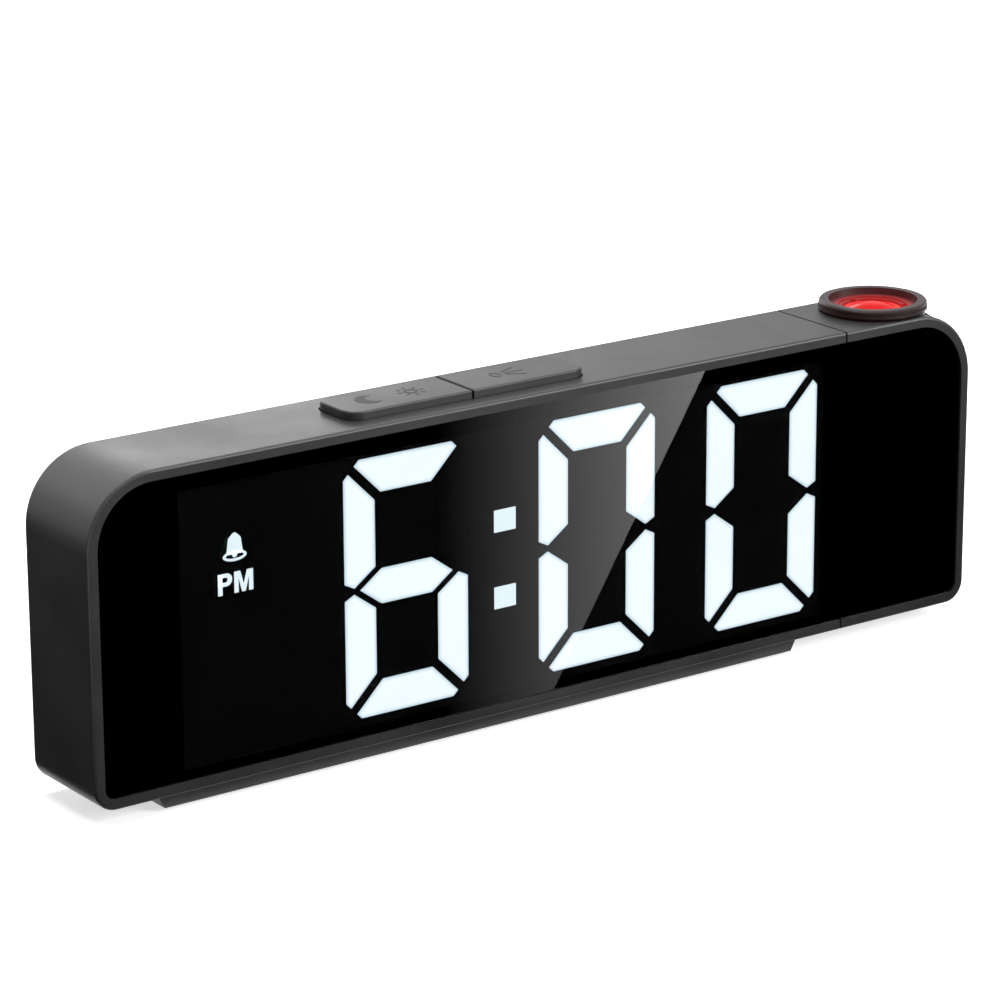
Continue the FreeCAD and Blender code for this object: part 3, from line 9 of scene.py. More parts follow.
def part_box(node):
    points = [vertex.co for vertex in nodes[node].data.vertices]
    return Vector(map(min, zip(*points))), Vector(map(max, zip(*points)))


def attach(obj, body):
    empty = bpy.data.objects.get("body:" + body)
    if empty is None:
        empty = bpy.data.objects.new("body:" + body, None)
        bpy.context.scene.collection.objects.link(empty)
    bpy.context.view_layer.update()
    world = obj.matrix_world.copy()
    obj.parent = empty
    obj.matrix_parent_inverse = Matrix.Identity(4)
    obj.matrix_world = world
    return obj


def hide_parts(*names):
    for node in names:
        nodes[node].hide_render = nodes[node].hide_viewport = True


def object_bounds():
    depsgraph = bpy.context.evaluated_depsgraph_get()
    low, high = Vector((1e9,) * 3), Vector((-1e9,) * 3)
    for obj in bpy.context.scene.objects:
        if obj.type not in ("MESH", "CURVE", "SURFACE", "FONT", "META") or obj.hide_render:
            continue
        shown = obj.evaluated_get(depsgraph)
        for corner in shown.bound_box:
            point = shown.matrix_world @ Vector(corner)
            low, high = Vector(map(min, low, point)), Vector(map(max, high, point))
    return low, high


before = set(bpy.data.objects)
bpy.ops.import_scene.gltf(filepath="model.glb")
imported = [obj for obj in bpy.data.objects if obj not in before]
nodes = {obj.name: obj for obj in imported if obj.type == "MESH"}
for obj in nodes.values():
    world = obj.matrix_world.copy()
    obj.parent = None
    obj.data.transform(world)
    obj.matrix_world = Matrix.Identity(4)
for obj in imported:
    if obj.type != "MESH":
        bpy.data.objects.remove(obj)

cadLow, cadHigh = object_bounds()
print("frame loaded:", len(nodes), "nodes")

# Camera

cameraValues = {
    "place": (-0.40683, -0.56029, 0.24952),
    "azimuth": -35.63,               # degrees, 0 looks along +Y
    "elevation": 17.09,
    "roll": -0.23,
    "lens": 147.4, "sensor": 36,     # mm
    "shift": (-0.0015, 0.002),
    "clip": (0.01, 20),
}


def placeObject(name, data):
    made = bpy.data.objects.new(name, data)
    bpy.context.scene.collection.objects.link(made)
    return made


def placeCamera(values):
    # the line of sight from azimuth and elevation, then the frame rolled about it
    az, el, roll = (math.radians(values[k]) for k in ("azimuth", "elevation", "roll"))
    back = Vector((math.sin(az) * math.cos(el), -math.cos(az) * math.cos(el), math.sin(el)))
    right = Vector((math.cos(az), math.sin(az), 0))
    up = back.cross(right)
    xAxis = math.cos(roll) * right + math.sin(roll) * up
    yAxis = -math.sin(roll) * right + math.cos(roll) * up
    data = bpy.data.cameras.new("camera")
    data.lens, data.sensor_width = values["lens"], values["sensor"]
    data.shift_x, data.shift_y = values["shift"]
    data.clip_start, data.clip_end = values["clip"]
    camera = placeObject("camera", data)
    turn = Matrix((xAxis, yAxis, back)).transposed().to_4x4()
    camera.matrix_world = Matrix.Translation(Vector(values["place"])) @ turn
    bpy.context.scene.camera = camera


placeCamera(cameraValues)
bpy.context.scene.view_settings.view_transform = "Standard"

# Nodes of a material


def addNode(tree, kind, **inputs):
    # an input is a socket's name with _ for a space, or i and its number; a socket given
    # for it is linked, and anything else is its value
    made = tree.nodes.new(kind)
    for word, value in inputs.items():
        byNumber = word[0] == "i" and word[1:].isdigit()
        socket = made.inputs[int(word[1:]) if byNumber else word.replace("_", " ")]
        if isinstance(value, bpy.types.NodeSocket):
            tree.links.new(value, socket)
        else:
            socket.default_value = value
    return made


def addMath(tree, operation, first, second):
    made = addNode(tree, "ShaderNodeMath", i0=first, i1=second)
    made.operation = operation
    return made.outputs[0]


def addTones(tree, share, dark, light, places=(0, 1)):
    # a ramp between two colours, which stand at the two places
    ramp = addNode(tree, "ShaderNodeValToRGB", Fac=share)
    for element, colour, place in zip(ramp.color_ramp.elements, (dark, light), places):
        element.color, element.position = (*colour, 1), place
    return ramp


def emptyMaterial(name):
    material = bpy.data.materials.new(name)
    material.use_nodes = True
    material.node_tree.nodes.clear()
    return material, material.node_tree


# Studio

studioValues = {
    "backdrop": 1.0,         # strength of the white that the eye, gloss and glass see
    "fill": 0.15,            # strength of the world on matt surfaces
    "floorColour": (0.86, 0.86, 0.86, 1),
    "floorGlow": 0.62,
    "floorRadius": 3.0,
    "floorSides": 96,
    "floorDrop": 0.0002,     # keeps the floor just clear of the pads
    "white": (1, 1, 1, 1),
}


def whiteToEyes(tree):
    # 1 for rays of the camera, of gloss and through glass, else 0
    path = addNode(tree, "ShaderNodeLightPath").outputs
    seen = addMath(tree, "MAXIMUM", path["Is Camera Ray"], path["Is Glossy Ray"])
    return addMath(tree, "MAXIMUM", seen, path["Is Transmission Ray"])


def makeWorld(values):
    world = bpy.data.worlds.new("studio")
    bpy.context.scene.world = world
    world.use_nodes = True
    world.cycles.sampling_method = "NONE"
    tree = world.node_tree
    tree.nodes.clear()
    strength = addNode(tree, "ShaderNodeMapRange", Value=whiteToEyes(tree),
                       To_Min=values["fill"], To_Max=values["backdrop"])
    ground = addNode(tree, "ShaderNodeBackground", Color=values["white"],
                     Strength=strength.outputs[0])
    addNode(tree, "ShaderNodeOutputWorld", Surface=ground.outputs[0])


def stagePlane(name, corners):
    mesh = bpy.data.meshes.new(name)
    mesh.from_pydata(corners, [], [list(range(len(corners)))])
    plane = placeObject(name, mesh)
    return plane


def makeFloor(values):
    # a round floor that turns into the white backdrop and still takes the shadow
    turn = np.linspace(0, 2 * np.pi, values["floorSides"], endpoint=False)
    rim = values["floorRadius"] * np.stack([np.cos(turn), np.sin(turn), 0 * turn], 1)
    floor = stagePlane("floor", (rim - [0, 0, values["floorDrop"]]).tolist())
    material, tree = emptyMaterial("floorWhite")
    matt = addNode(tree, "ShaderNodeBsdfDiffuse", Color=values["floorColour"])
    glow = addNode(tree, "ShaderNodeEmission", Color=values["white"],
                   Strength=values["floorGlow"])
    bright = addNode(tree, "ShaderNodeAddShader", i0=matt.outputs[0], i1=glow.outputs[0])
    both = addNode(tree, "ShaderNodeMixShader", i0=whiteToEyes(tree), i1=matt.outputs[0],
                   i2=bright.outputs[0])
    addNode(tree, "ShaderNodeOutputMaterial", Surface=both.outputs[0])
    floor.data.materials.append(material)


def hideButToGloss(card):
    card.visible_camera = card.visible_diffuse = card.visible_shadow = False
    card.visible_volume_scatter = False


cardValues = {
    "left": -0.155, "right": 0.42, "front": -0.42, "back": 0.5,    # reach on the table
    "beside": 0.6,       # how much further the side card goes to the left
    "gap": 0.001,        # between the card and the clock
    "lift": 0.0002,
}


def darkCard(values):
    # a dark card on the table in front of the clock and to its left, which only gloss
    # sees: it keeps the panel black and the left end dark, as in the photograph
    z, edge, end = values["lift"], cadLow.y - values["gap"], cadLow.x - values["gap"]
    farLeft = values["left"] - values["beside"]
    front = stagePlane("frontCard", [
        (values["left"], values["front"], z), (values["right"], values["front"], z),
        (values["right"], edge, z), (values["left"], edge, z)])
    side = stagePlane("sideCard", [
        (farLeft, edge, z), (end, edge, z), (end, values["back"], z),
        (farLeft, values["back"], z)])
    material, tree = emptyMaterial("blackCloth")
    matt = addNode(tree, "ShaderNodeBsdfDiffuse", Color=(0, 0, 0, 1))
    addNode(tree, "ShaderNodeOutputMaterial", Surface=matt.outputs[0])
    for card in (front, side):
        card.data.materials.append(material)
        hideButToGloss(card)


glareValues = {
    "strength": 4.4,
    "steps": 25,
    "fadeIn": 1.35,      # power by which the light rises from the left
    "nearShare": 0.25,   # strength at the clock, of that at the far end
    "lift": 0.0004,
    # corners on the table; the sharp side runs from the clock outwards
    "fadeNear": (-0.020, -0.018), "sharpNear": (0.004, -0.018),
    "fadeFar": (0.095, -0.185), "sharpFar": (0.172, -0.183),
}


def glareCard(values):
    # a lit card on the table that only gloss sees: the panel mirrors it as a pale wedge.
    # A point is blended from four corners, and its light is the power of the way from the
    # soft side times a share that rises away from the clock
    way = np.linspace(0, 1, values["steps"])
    u, v = np.meshgrid(way, way, indexing="ij")
    fadeNear, sharpNear, fadeFar, sharpFar = (
        np.array(values[k]) for k in ("fadeNear", "sharpNear", "fadeFar", "sharpFar"))
    near = fadeNear + u[..., None] * (sharpNear - fadeNear)
    far = fadeFar + u[..., None] * (sharpFar - fadeFar)
    flat = near + v[..., None] * (far - near)
    points = np.dstack([flat, np.full_like(u, values["lift"])]).reshape(-1, 3)
    index = np.arange(u.size).reshape(u.shape)
    quads = np.stack([index[:-1, :-1], index[1:, :-1], index[1:, 1:], index[:-1, 1:]], -1)
    mesh = bpy.data.meshes.new("glareCard")
    mesh.from_pydata(points.tolist(), [], quads.reshape(-1, 4).tolist())
    light = u ** values["fadeIn"] * (values["nearShare"] + (1 - values["nearShare"]) * v)
    mesh.attributes.new("glow", "FLOAT", "POINT").data.foreach_set("value", light.ravel())
    card = placeObject("glareCard", mesh)
    hideButToGloss(card)
    card.visible_transmission = False
    material, tree = emptyMaterial("glareLight")
    glow = addNode(tree, "ShaderNodeAttribute")
    glow.attribute_name = "glow"
    lamp = addNode(tree, "ShaderNodeEmission", Strength=addMath(
        tree, "MULTIPLY", glow.outputs["Fac"], values["strength"]))
    addNode(tree, "ShaderNodeOutputMaterial", Surface=lamp.outputs[0])
    mesh.materials.append(material)


lampValues = {
    # place, the point it faces, width and height, watts
    "softTop": ((0.0, 0.1, 1.1), (0, 0, 0), (1.0, 0.8), 12),
    "softFront": ((0.75, -1.0, 0.55), (0, 0, 0.03), (0.7, 0.7), 17),
    "softBack": ((0.12, 1.3, 0.5), (-0.02, 0, 0.06), (1.45, 0.4), 5.2),
}


def areaLight(name, place, target, size, power):
    data = bpy.data.lights.new(name, "AREA")
    data.shape = "RECTANGLE"
    data.size, data.size_y = size
    data.energy = power
    light = placeObject(name, data)
    light.location = place
    aim = Vector(target) - Vector(place)
    light.rotation_euler = aim.to_track_quat("-Z", "Y").to_euler()


makeWorld(studioValues)
makeFloor(studioValues)
darkCard(cardValues)
for lampName, lampRow in lampValues.items():
    areaLight(lampName, *lampRow)
glareCard(glareValues)
print("studio ready")

# Materials, with every pattern on Object coordinates in metres


def newMaterial(name):
    material = bpy.data.materials.new(name)
    material.use_nodes = True
    tree = material.node_tree
    coords = addNode(tree, "ShaderNodeTexCoord").outputs["Object"]
    return material, tree, tree.nodes["Principled BSDF"], coords


def addNoise(tree, coords, scale, detail):
    return addNode(tree, "ShaderNodeTexNoise", Vector=coords, Scale=scale,
                   Detail=detail).outputs[0]


def linkSurface(tree, shader, colour, rough, height, strength, depth):
    bump = addNode(tree, "ShaderNodeBump", Height=height, Strength=strength, Distance=depth)
    for socket, source in (("Base Color", colour), ("Roughness", rough), ("Normal", bump)):
        tree.links.new(source.outputs[0], shader.inputs[socket])


mouldedValues = {
    "mottleDetail": 4.0, "grainDetail": 2.0,
    "tones": (0.1, 0.5),         # where the dark and the light colour stand
    "drift": (0.3, 0.7),         # reach of the mottle that moves the roughness
}


def moulded(name, dark, light, roughness, spread, grain, depth, scale=2600, mottle=55):
    # moulded plastic: a faint mottle in the colour, spark-eroded grain in the bump, and
    # slow changes of roughness where hands and dust dull it
    values = mouldedValues
    material, tree, shader, coords = newMaterial(name)
    slow = addNoise(tree, coords, mottle, values["mottleDetail"])
    fine = addNoise(tree, coords, scale, values["grainDetail"])
    tone = addTones(tree, addMath(tree, "MULTIPLY", slow, fine), dark, light, values["tones"])
    low, high = values["drift"]
    rough = addNode(tree, "ShaderNodeMapRange", Value=slow, From_Min=low, From_Max=high,
                    To_Min=roughness - spread, To_Max=roughness + spread)
    linkSurface(tree, shader, tone, rough, fine, grain, depth)
    return material


plasticRows = {
    # name, dark, light, roughness, its spread, grain and its depth, and where they aren't
    # the usual ones the scales of the grain and the mottle
    "case": ("casePlastic", (0.008, 0.008, 0.0085), (0.017, 0.017, 0.018),
             0.42, 0.05, 0.25, 0.00002),
    "key": ("keyPlastic", (0.008, 0.008, 0.0085), (0.015, 0.015, 0.016),
            0.44, 0.05, 0.3, 0.00002),
    "ring": ("ringPlastic", (0.010, 0.006, 0.0065), (0.022, 0.014, 0.015),
             0.42, 0.05, 0.1, 0.00001),
    "button": ("buttonPlastic", (0.02, 0.02, 0.021), (0.035, 0.035, 0.036),
               0.5, 0.06, 0.3, 0.00002),
    "inner": ("innerPlastic", (0.0008, 0.0008, 0.0008), (0.002, 0.002, 0.002),
              0.75, 0.05, 0.1, 0.00001),
    "rubber": ("padRubber", (0.012, 0.012, 0.012), (0.03, 0.03, 0.03),
               0.8, 0.08, 0.5, 0.00005, 1500),
    "board": ("boardGreen", (0.01, 0.06, 0.025), (0.02, 0.12, 0.05),
              0.35, 0.06, 0.1, 0.00001, 900, 300),
    "chip": ("ledChip", (0.5, 0.5, 0.4), (0.7, 0.7, 0.6), 0.3, 0.05, 0.1, 0.00001),
    "dome": ("lensDome", (0.10, 0.003, 0.003), (0.16, 0.006, 0.006),
             0.15, 0.03, 0.02, 0.00001),
    "mark": ("keyMark", (0.002, 0.002, 0.002), (0.005, 0.005, 0.005),
             0.6, 0.05, 0.1, 0.00001),
}

metalValues = {
    "detail": 5.0,
    "drawn": (1, 6, 0.4),        # the marks are drawn out along z
    "shade": 0.8,                # tone in the marks, of the bright tone
    "smoother": 0.08, "rougher": 0.1,
    "bump": 0.15, "depth": 0.00002,
}


def metal(name, tone, roughness, scratch=900):
    # plated steel: fine marks drawn out one way in the colour, roughness and bump
    values = metalValues
    material, tree, shader, coords = newMaterial(name)
    drawn = addNode(tree, "ShaderNodeMapping", Vector=coords, Scale=values["drawn"])
    marks = addNoise(tree, drawn.outputs[0], scratch, values["detail"])
    shade = addTones(tree, marks, [values["shade"] * c for c in tone], tone)
    rough = addNode(tree, "ShaderNodeMapRange", Value=marks,
                    To_Min=roughness - values["smoother"], To_Max=roughness + values["rougher"])
    shader.inputs["Metallic"].default_value = 1.0
    linkSurface(tree, shader, shade, rough, marks, values["bump"], values["depth"])
    return material


metalRows = {
    # name, tone, roughness, scale of the marks
    "steel": ("platedSteel", (0.55, 0.55, 0.56), 0.32),
    "screw": ("blackZinc", (0.16, 0.16, 0.17), 0.36),
    "cell": ("cellSteel", (0.75, 0.75, 0.74), 0.22, 300),
}

panelValues = {
    "dark": (0.30, 0.31, 0.32), "light": (0.33, 0.34, 0.35),
    "haze": 40.0, "hazeDetail": 3.0,
    "roughness": 0.01, "ior": 1.45,
}


def smokedPanel(values):
    # smoked acrylic: dark through its thickness, polished, with the faintest haze
    material, tree, shader, coords = newMaterial("smokedAcrylic")
    haze = addNoise(tree, coords, values["haze"], values["hazeDetail"])
    tint = addTones(tree, haze, values["dark"], values["light"])
    tree.links.new(tint.outputs[0], shader.inputs["Base Color"])
    shader.inputs["Roughness"].default_value = values["roughness"]
    shader.inputs["IOR"].default_value = values["ior"]
    shader.inputs["Transmission Weight"].default_value = 1.0
    return material


glowingValues = {"detail": 2.0, "body": 0.3, "roughness": 0.5}     # body: unlit share of colour


def glowing(name, colour, strength, vary=0.06, scale=130):
    # lit translucent plastic: its brightness drifts a little across the piece
    values = glowingValues
    material, tree, shader, coords = newMaterial(name)
    drift = addNoise(tree, coords, scale, values["detail"])
    tone = addTones(tree, drift, [c * (1 - vary) for c in colour], colour)
    tree.links.new(tone.outputs[0], shader.inputs["Emission Color"])
    shader.inputs["Emission Strength"].default_value = strength
    shader.inputs["Base Color"].default_value = (*(values["body"] * c for c in colour), 1)
    shader.inputs["Roughness"].default_value = values["roughness"]
    return material


glowingRows = {
    # name, colour, strength, how far it drifts, scale of the drift
    "lit": ("litDiffuser", (0.86, 0.97, 1.0), 3.1),
    "redLens": ("redLens", (1.0, 0.05, 0.04), 3.0, 0.3, 90),
    "redLed": ("redLed", (1.0, 0.02, 0.015), 4.0),
}

segmentLightValues = {
    "colour": (0.93, 0.99, 1.0), "edgeColour": (0.62, 0.74, 0.80), "strength": 3.2,
    "body": (0.3, 0.32, 0.33, 1),
    "scale": 120.0, "detail": 2.0, "drift": 0.16,
    "full": 0.85,                # share of the plateau at which the light is full
}


def segmentLight(values):
    # the light of a segment: full on its plateau, softer and bluer towards its edge
    material, tree, shader, coords = newMaterial("segmentDiffuser")
    level = addNode(tree, "ShaderNodeAttribute")
    level.attribute_name = "plateau"
    noise = addNoise(tree, coords, values["scale"], values["detail"])
    drift = addMath(tree, "MULTIPLY", noise, values["drift"])
    share = addMath(tree, "SUBTRACT", level.outputs["Fac"], drift)
    tone = addTones(tree, share, values["edgeColour"], values["colour"], (0, values["full"]))
    tone.color_ramp.interpolation = "EASE"
    tree.links.new(tone.outputs[0], shader.inputs["Emission Color"])
    shader.inputs["Emission Strength"].default_value = values["strength"]
    shader.inputs["Base Color"].default_value = values["body"]
    return material


materials = {key: moulded(*row) for key, row in plasticRows.items()}
materials.update({key: metal(*row) for key, row in metalRows.items()})
materials.update({key: glowing(*row) for key, row in glowingRows.items()})
materials["panel"] = smokedPanel(panelValues)
materials["segment"] = segmentLight(segmentLightValues)

paintedRedLightValues = {
    # painted red light of the projector, on the lens dome and on the ring, barrel and cell
    # round it: how much the surface mirrors, the radius that the painted light reaches, and its
    # colour at shares of that radius
    # the dome: painted red light, bright at the middle and in a paler band round its edge
    "dome": (0.04, 0.0056, [
        (0.0, (0.95, 0.012, 0.012)), (0.45, (0.62, 0.002, 0.002)),
        (0.70, (0.75, 0.006, 0.006)), (0.84, (1.0, 0.11, 0.10)),
        (0.96, (0.9, 0.04, 0.04)), (1.0, (0.4, 0.01, 0.01))]),
    # the ring, barrel and cell: painted red light, strong near the axis and almost gone at the
    # ring's top
    "ring": (0.25, 0.0102, [
        (0.0, (0.6, 0.01, 0.01)), (0.64, (0.34, 0.01, 0.01)),
        (0.74, (0.14, 0.002, 0.002)), (0.80, (0.04, 0.001, 0.001)),
        (0.84, (0.008, 0.0, 0.0)), (1.0, (0.004, 0.0, 0.0))]),
}


def paintRedLight(material, centre, mirror, reach, stops):
    # painted red light: emission coloured by the distance from the lens axis, standing in for
    # the projector's light on the dome and on the plastic round it
    tree = material.node_tree
    shader = tree.nodes["Principled BSDF"]
    shader.inputs["Specular IOR Level"].default_value = mirror
    coords = addNode(tree, "ShaderNodeTexCoord").outputs["Object"]
    flat = addNode(tree, "ShaderNodeVectorMath", i0=coords, i1=(1, 1, 0))
    flat.operation = "MULTIPLY"
    away = addNode(tree, "ShaderNodeVectorMath", i0=flat.outputs[0], i1=(*centre, 0))
    away.operation = "DISTANCE"
    share = addMath(tree, "DIVIDE", away.outputs["Value"], reach)
    ramp = addNode(tree, "ShaderNodeValToRGB", Fac=share)
    while len(ramp.color_ramp.elements) < len(stops):
        ramp.color_ramp.elements.new(stops[1][0])        # each is set below
    for element, (place, colour) in zip(ramp.color_ramp.elements, stops):
        element.position, element.color = place, (*colour, 1)
    tree.links.new(ramp.outputs[0], shader.inputs["Emission Color"])
    shader.inputs["Emission Strength"].default_value = 1.0


ringLow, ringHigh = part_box("focus_ring")
lensAxis = ((ringLow.x + ringHigh.x) / 2, (ringLow.y + ringHigh.y) / 2)
for paintedKey, paintedRow in paintedRedLightValues.items():
    paintRedLight(materials[paintedKey], lensAxis, *paintedRow)

dressedNodes = {
    "case": ["main_case", "rear_cover", "head_case", "head_rear_cover", "base_foot",
             "battery_door"],
    "key": ["snooze_key", "projector_key"],
    "ring": ["focus_ring", "projector_barrel", "lens_cell"],
    "button": ["pivot_shaft", "set_button", "alarm_button", "mode_button", "up_button",
               "down_button"],
    "inner": ["display_reflector", "unlit_segments", "key_switches", "rear_switches",
              "buzzer"],
    "rubber": ["foot_pads"],
    "board": ["display_board", "main_board", "projector_board"],
    "steel": ["foot_screws", "cover_screws", "board_screws", "head_screws",
              "friction_washer", "retaining_clip", "ring_clip", "cell_contact",
              "power_socket"],
    "cell": ["coin_cell"],
    "panel": ["display_panel", "head_panel"],
    "lit": ["lit_segments", "colon_diffusers", "alarm_bell_diffuser",
            "afternoon_mark_diffuser"],
    "redLens": ["objective_lens", "condenser_lens", "time_slide"],
    "redLed": ["projector_led"],
    "chip": ["segment_leds"],
}

for finish, nodeNames in dressedNodes.items():
    for nodeName in nodeNames:
        nodes[nodeName].data.materials.clear()
        nodes[nodeName].data.materials.append(materials[finish])
print("materials ready:", len(materials))

# Shapes for the pieces made here: each gives points as an array, and faces that look out


def slab(outline, low, high):
    # a plate: the outline, counter-clockwise seen from the high side, at two heights
    count = len(outline)
    points = np.vstack([np.column_stack([outline, np.full(count, h)]) for h in (low, high)])
    around = np.arange(count)
    nextOne = (around + 1) % count
    sides = np.column_stack([around, nextOne, nextOne + count, around + count])
    faces = [list(range(count))[::-1], list(range(count, 2 * count))] + sides.tolist()
    return points, faces


def band(outer, inner, low, high):
    # a flat ring between two outlines of as many points, at two heights
    count = len(outer)
    lines = ((outer, low), (outer, high), (inner, high), (inner, low))
    points = np.vstack([np.column_stack([line, np.full(count, h)]) for line, h in lines])
    around = np.arange(count)
    nextOne = (around + 1) % count
    faces = []
    for a, b in ((0, 1), (1, 2), (2, 3), (3, 0)):
        faces += np.column_stack([a * count + around, a * count + nextOne,
                                  b * count + nextOne, b * count + around]).tolist()
    return points, faces


def gather(shapes):
    # several shapes as one: the faces of each count on from the points before it
    points, faces, start = [], [], 0
    for shapePoints, shapeFaces in shapes:
        points.append(shapePoints)
        faces += [[start + i for i in face] for face in shapeFaces]
        start += len(shapePoints)
    return np.vstack(points), faces


def ellipse(centre, halfWidth, halfHeight, count=48, start=0, end=360):
    # cosine of the turn times the half width, and sine times the half height; degrees
    turn = np.radians(np.linspace(start, end, count, endpoint=end - start < 360))
    return np.column_stack([centre[0] + halfWidth * np.cos(turn),
                            centre[1] + halfHeight * np.sin(turn)])


def revolve(profile, centre, count=96):
    # the profile (radius, height) swept round a vertical line, closed at both poles
    radii, heights = np.asarray(profile).T
    turn = np.linspace(0, 2 * np.pi, count, endpoint=False)
    ring = np.stack([centre[0] + np.outer(radii, np.cos(turn)),
                     centre[1] + np.outer(radii, np.sin(turn)),
                     np.repeat(heights[:, None], count, 1)], -1)
    points = np.vstack([[[*centre, heights[0]]], ring[1:-1].reshape(-1, 3),
                        [[*centre, heights[-1]]]])
    rows = len(radii) - 2
    index = 1 + np.arange(rows * count).reshape(rows, count)
    beside = np.roll(index, -1, axis=1)
    quads = np.stack([index[:-1], beside[:-1], beside[1:], index[1:]], -1).reshape(-1, 4)
    last = len(points) - 1
    foot = np.stack([np.zeros(count, int), beside[0], index[0]], -1)
    cap = np.stack([np.full(count, last), index[-1], beside[-1]], -1)
    return points, quads.tolist() + foot.tolist() + cap.tolist()


def upright(points):
    # a plate drawn flat, its height turned to face the front: (x, y, h) to (x, -h, y)
    return np.column_stack([points[:, 0], -points[:, 2], points[:, 1]])


def newMesh(name, points, faces):
    mesh = bpy.data.meshes.new(name)
    mesh.from_pydata(np.asarray(points).tolist(), [], faces)
    return mesh


def readPoints(mesh):
    points = np.empty(3 * len(mesh.vertices))
    mesh.vertices.foreach_get("co", points)
    return points.reshape(-1, 3)


weldReach = 0.000001


def mergedNode(node):
    # a copy of a node's loose triangles, joined at their corners
    work = bmesh.new()
    work.from_mesh(nodes[node].data)
    bmesh.ops.remove_doubles(work, verts=work.verts, dist=weldReach)
    return nodes[node].data.copy(), work


def setPiece(name, mesh, body, slot, material, *replaced):
    # a finished mesh as a piece on its body, standing for the nodes that it replaces
    mesh.materials.clear()
    mesh.materials.append(materials[material])
    piece = placeObject(name, mesh)
    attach(piece, body)
    if replaced:
        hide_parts(*replaced)


# Marks beside the digits

markValues = {
    "heights": (0.00857, 0.00861),               # between the reflector and the panel
    "bell": (-0.0663, 0.0417),                   # middle of its rim
    "rim": (0.00232, 0.00092), "rimHole": (0.00178, 0.00046),
    "tongue": (0.00048, 0.00052), "tongueRise": 0.00022,
    "foot": 0.0003, "shoulder": 0.003, "top": 0.00405,       # heights over the rim's middle
    "footHalf": 0.00172, "shoulderHalf": 0.00126,
    "sideBend": 0.7, "domeBend": 0.69,           # powers of the way up
    "sideRows": 12, "domeRows": 16,
    "letters": (-0.0697, 0.0352), "letterHeight": 0.0037, "letterGap": 0.0004,
    "stroke": 0.00088,
    "letterP": 0.0028, "bowlHeight": 0.6, "bowlRows": 24,    # of the letter's height
    "bowlStroke": 0.78, "bowlStart": 0.1, "holeStart": 0.9,  # of the stroke
    "letterM": 0.0037, "legTop": 0.68, "notch": 0.36,        # of the letter's height
    "leg": 0.95, "point": 0.4, "shoulders": 1.35,            # of the stroke
}


def bellShapes(values):
    # body: the sides draw in from the foot to the shoulder by a power of the way up, and a
    # dome closes them by a power of the way left to the top; the rim is an elliptical ring
    heights = values["heights"]
    cx, cy = values["bell"]
    shoulder, shoulderHalf = values["shoulder"], values["shoulderHalf"]
    side = np.linspace(0, 1, values["sideRows"])
    dome = np.linspace(0, 1, values["domeRows"])[1:]
    drawIn = (shoulderHalf - values["footHalf"]) * side ** values["sideBend"]
    half = np.concatenate([values["footHalf"] + drawIn,
                           shoulderHalf * (1 - dome) ** values["domeBend"]])
    up = np.concatenate([values["foot"] + (shoulder - values["foot"]) * side,
                         shoulder + (values["top"] - shoulder) * dome])
    right = np.column_stack([cx + half, cy + up])
    left = np.column_stack([cx - half, cy + up])[::-1][1:]
    body = slab(np.vstack([right, left]), *heights)
    rim = band(ellipse((cx, cy), *values["rim"]), ellipse((cx, cy), *values["rimHole"]),
               *heights)
    tongue = slab(ellipse((cx, cy + values["tongueRise"]), *values["tongue"]), *heights)
    return [body, rim, tongue]


def letterShapes(values):
    # a bold P, a stem with a half round bowl, and a bold M in one outline, mirrored about
    # its middle
    heights = values["heights"]
    x, y = values["letters"]
    tall, wide, stroke = values["letterHeight"], values["letterP"], values["stroke"]
    stem = slab(np.array([[0, 0], [stroke, 0], [stroke, tall], [0, tall]]) + (x, y), *heights)
    bowlHalf = values["bowlHeight"] * tall / 2
    middle = y + tall - bowlHalf
    turn = np.radians(np.linspace(-90, 90, values["bowlRows"]))

    def bowl(reach, radius, start):
        arc = np.column_stack([reach - radius + radius * np.cos(turn),
                               middle + radius * np.sin(turn)])
        return np.vstack([[start, middle - radius], arc, [start, middle + radius]])

    outer = bowl(x + wide, bowlHalf, x + values["bowlStart"] * stroke)
    inner = bowl(x + wide - stroke, bowlHalf - values["bowlStroke"] * stroke,
                 x + values["holeStart"] * stroke)
    half = values["letterM"] / 2
    leg, point, shoulder = (values[k] * stroke for k in ("leg", "point", "shoulders"))
    low = np.array([[half, 0], [half - leg, 0], [half - leg, values["legTop"] * tall],
                    [point, 0]])
    high = np.array([[half, tall], [half - shoulder, tall]])
    mirror = (-1, 1)
    outline = np.vstack([low * mirror, low[::-1], high, [[0, values["notch"] * tall]],
                         (high * mirror)[::-1]])
    letterM = slab(outline + (x + wide + values["letterGap"] + half, y), *heights)
    return [stem, band(outer, inner, *heights), letterM]


def makeMarks(values):
    for name, shapes, node in (
            ("alarm_bell_mark", bellShapes(values), "alarm_bell_diffuser"),
            ("afternoon_mark", letterShapes(values), "afternoon_mark_diffuser")):
        points, faces = gather(shapes)
        mesh = newMesh(name, upright(points), faces)
        setPiece(name, mesh, "clock", "lit_diffuser", "lit", node)


# Lit segments

segmentValues = {
    "edge": 0.00075,     # width of the soft edge
    "flat": 1,           # degrees under which faces are one
    "front": 0.99,       # how squarely a face looks forward
}


def softSegments(values):
    # the lit diffusers with an inset line round each front face: the light falls off
    # between that line and the edge
    mesh, work = mergedNode("lit_segments")
    bmesh.ops.dissolve_limit(work, angle_limit=math.radians(values["flat"]),
                             verts=work.verts, edges=work.edges)
    fronts = [face for face in work.faces if face.normal.y < -values["front"]]
    before = set(work.verts)
    bmesh.ops.inset_individual(work, faces=fronts, thickness=values["edge"],
                               use_even_offset=True)
    inner = np.array([vert not in before for vert in work.verts], float)
    work.to_mesh(mesh)
    work.free()
    mesh.attributes.new("plateau", "FLOAT", "POINT").data.foreach_set("value", inner)
    setPiece("segment_diffusers", mesh, "clock", "lit_diffuser", "segment", "lit_segments")


# Projector's lens

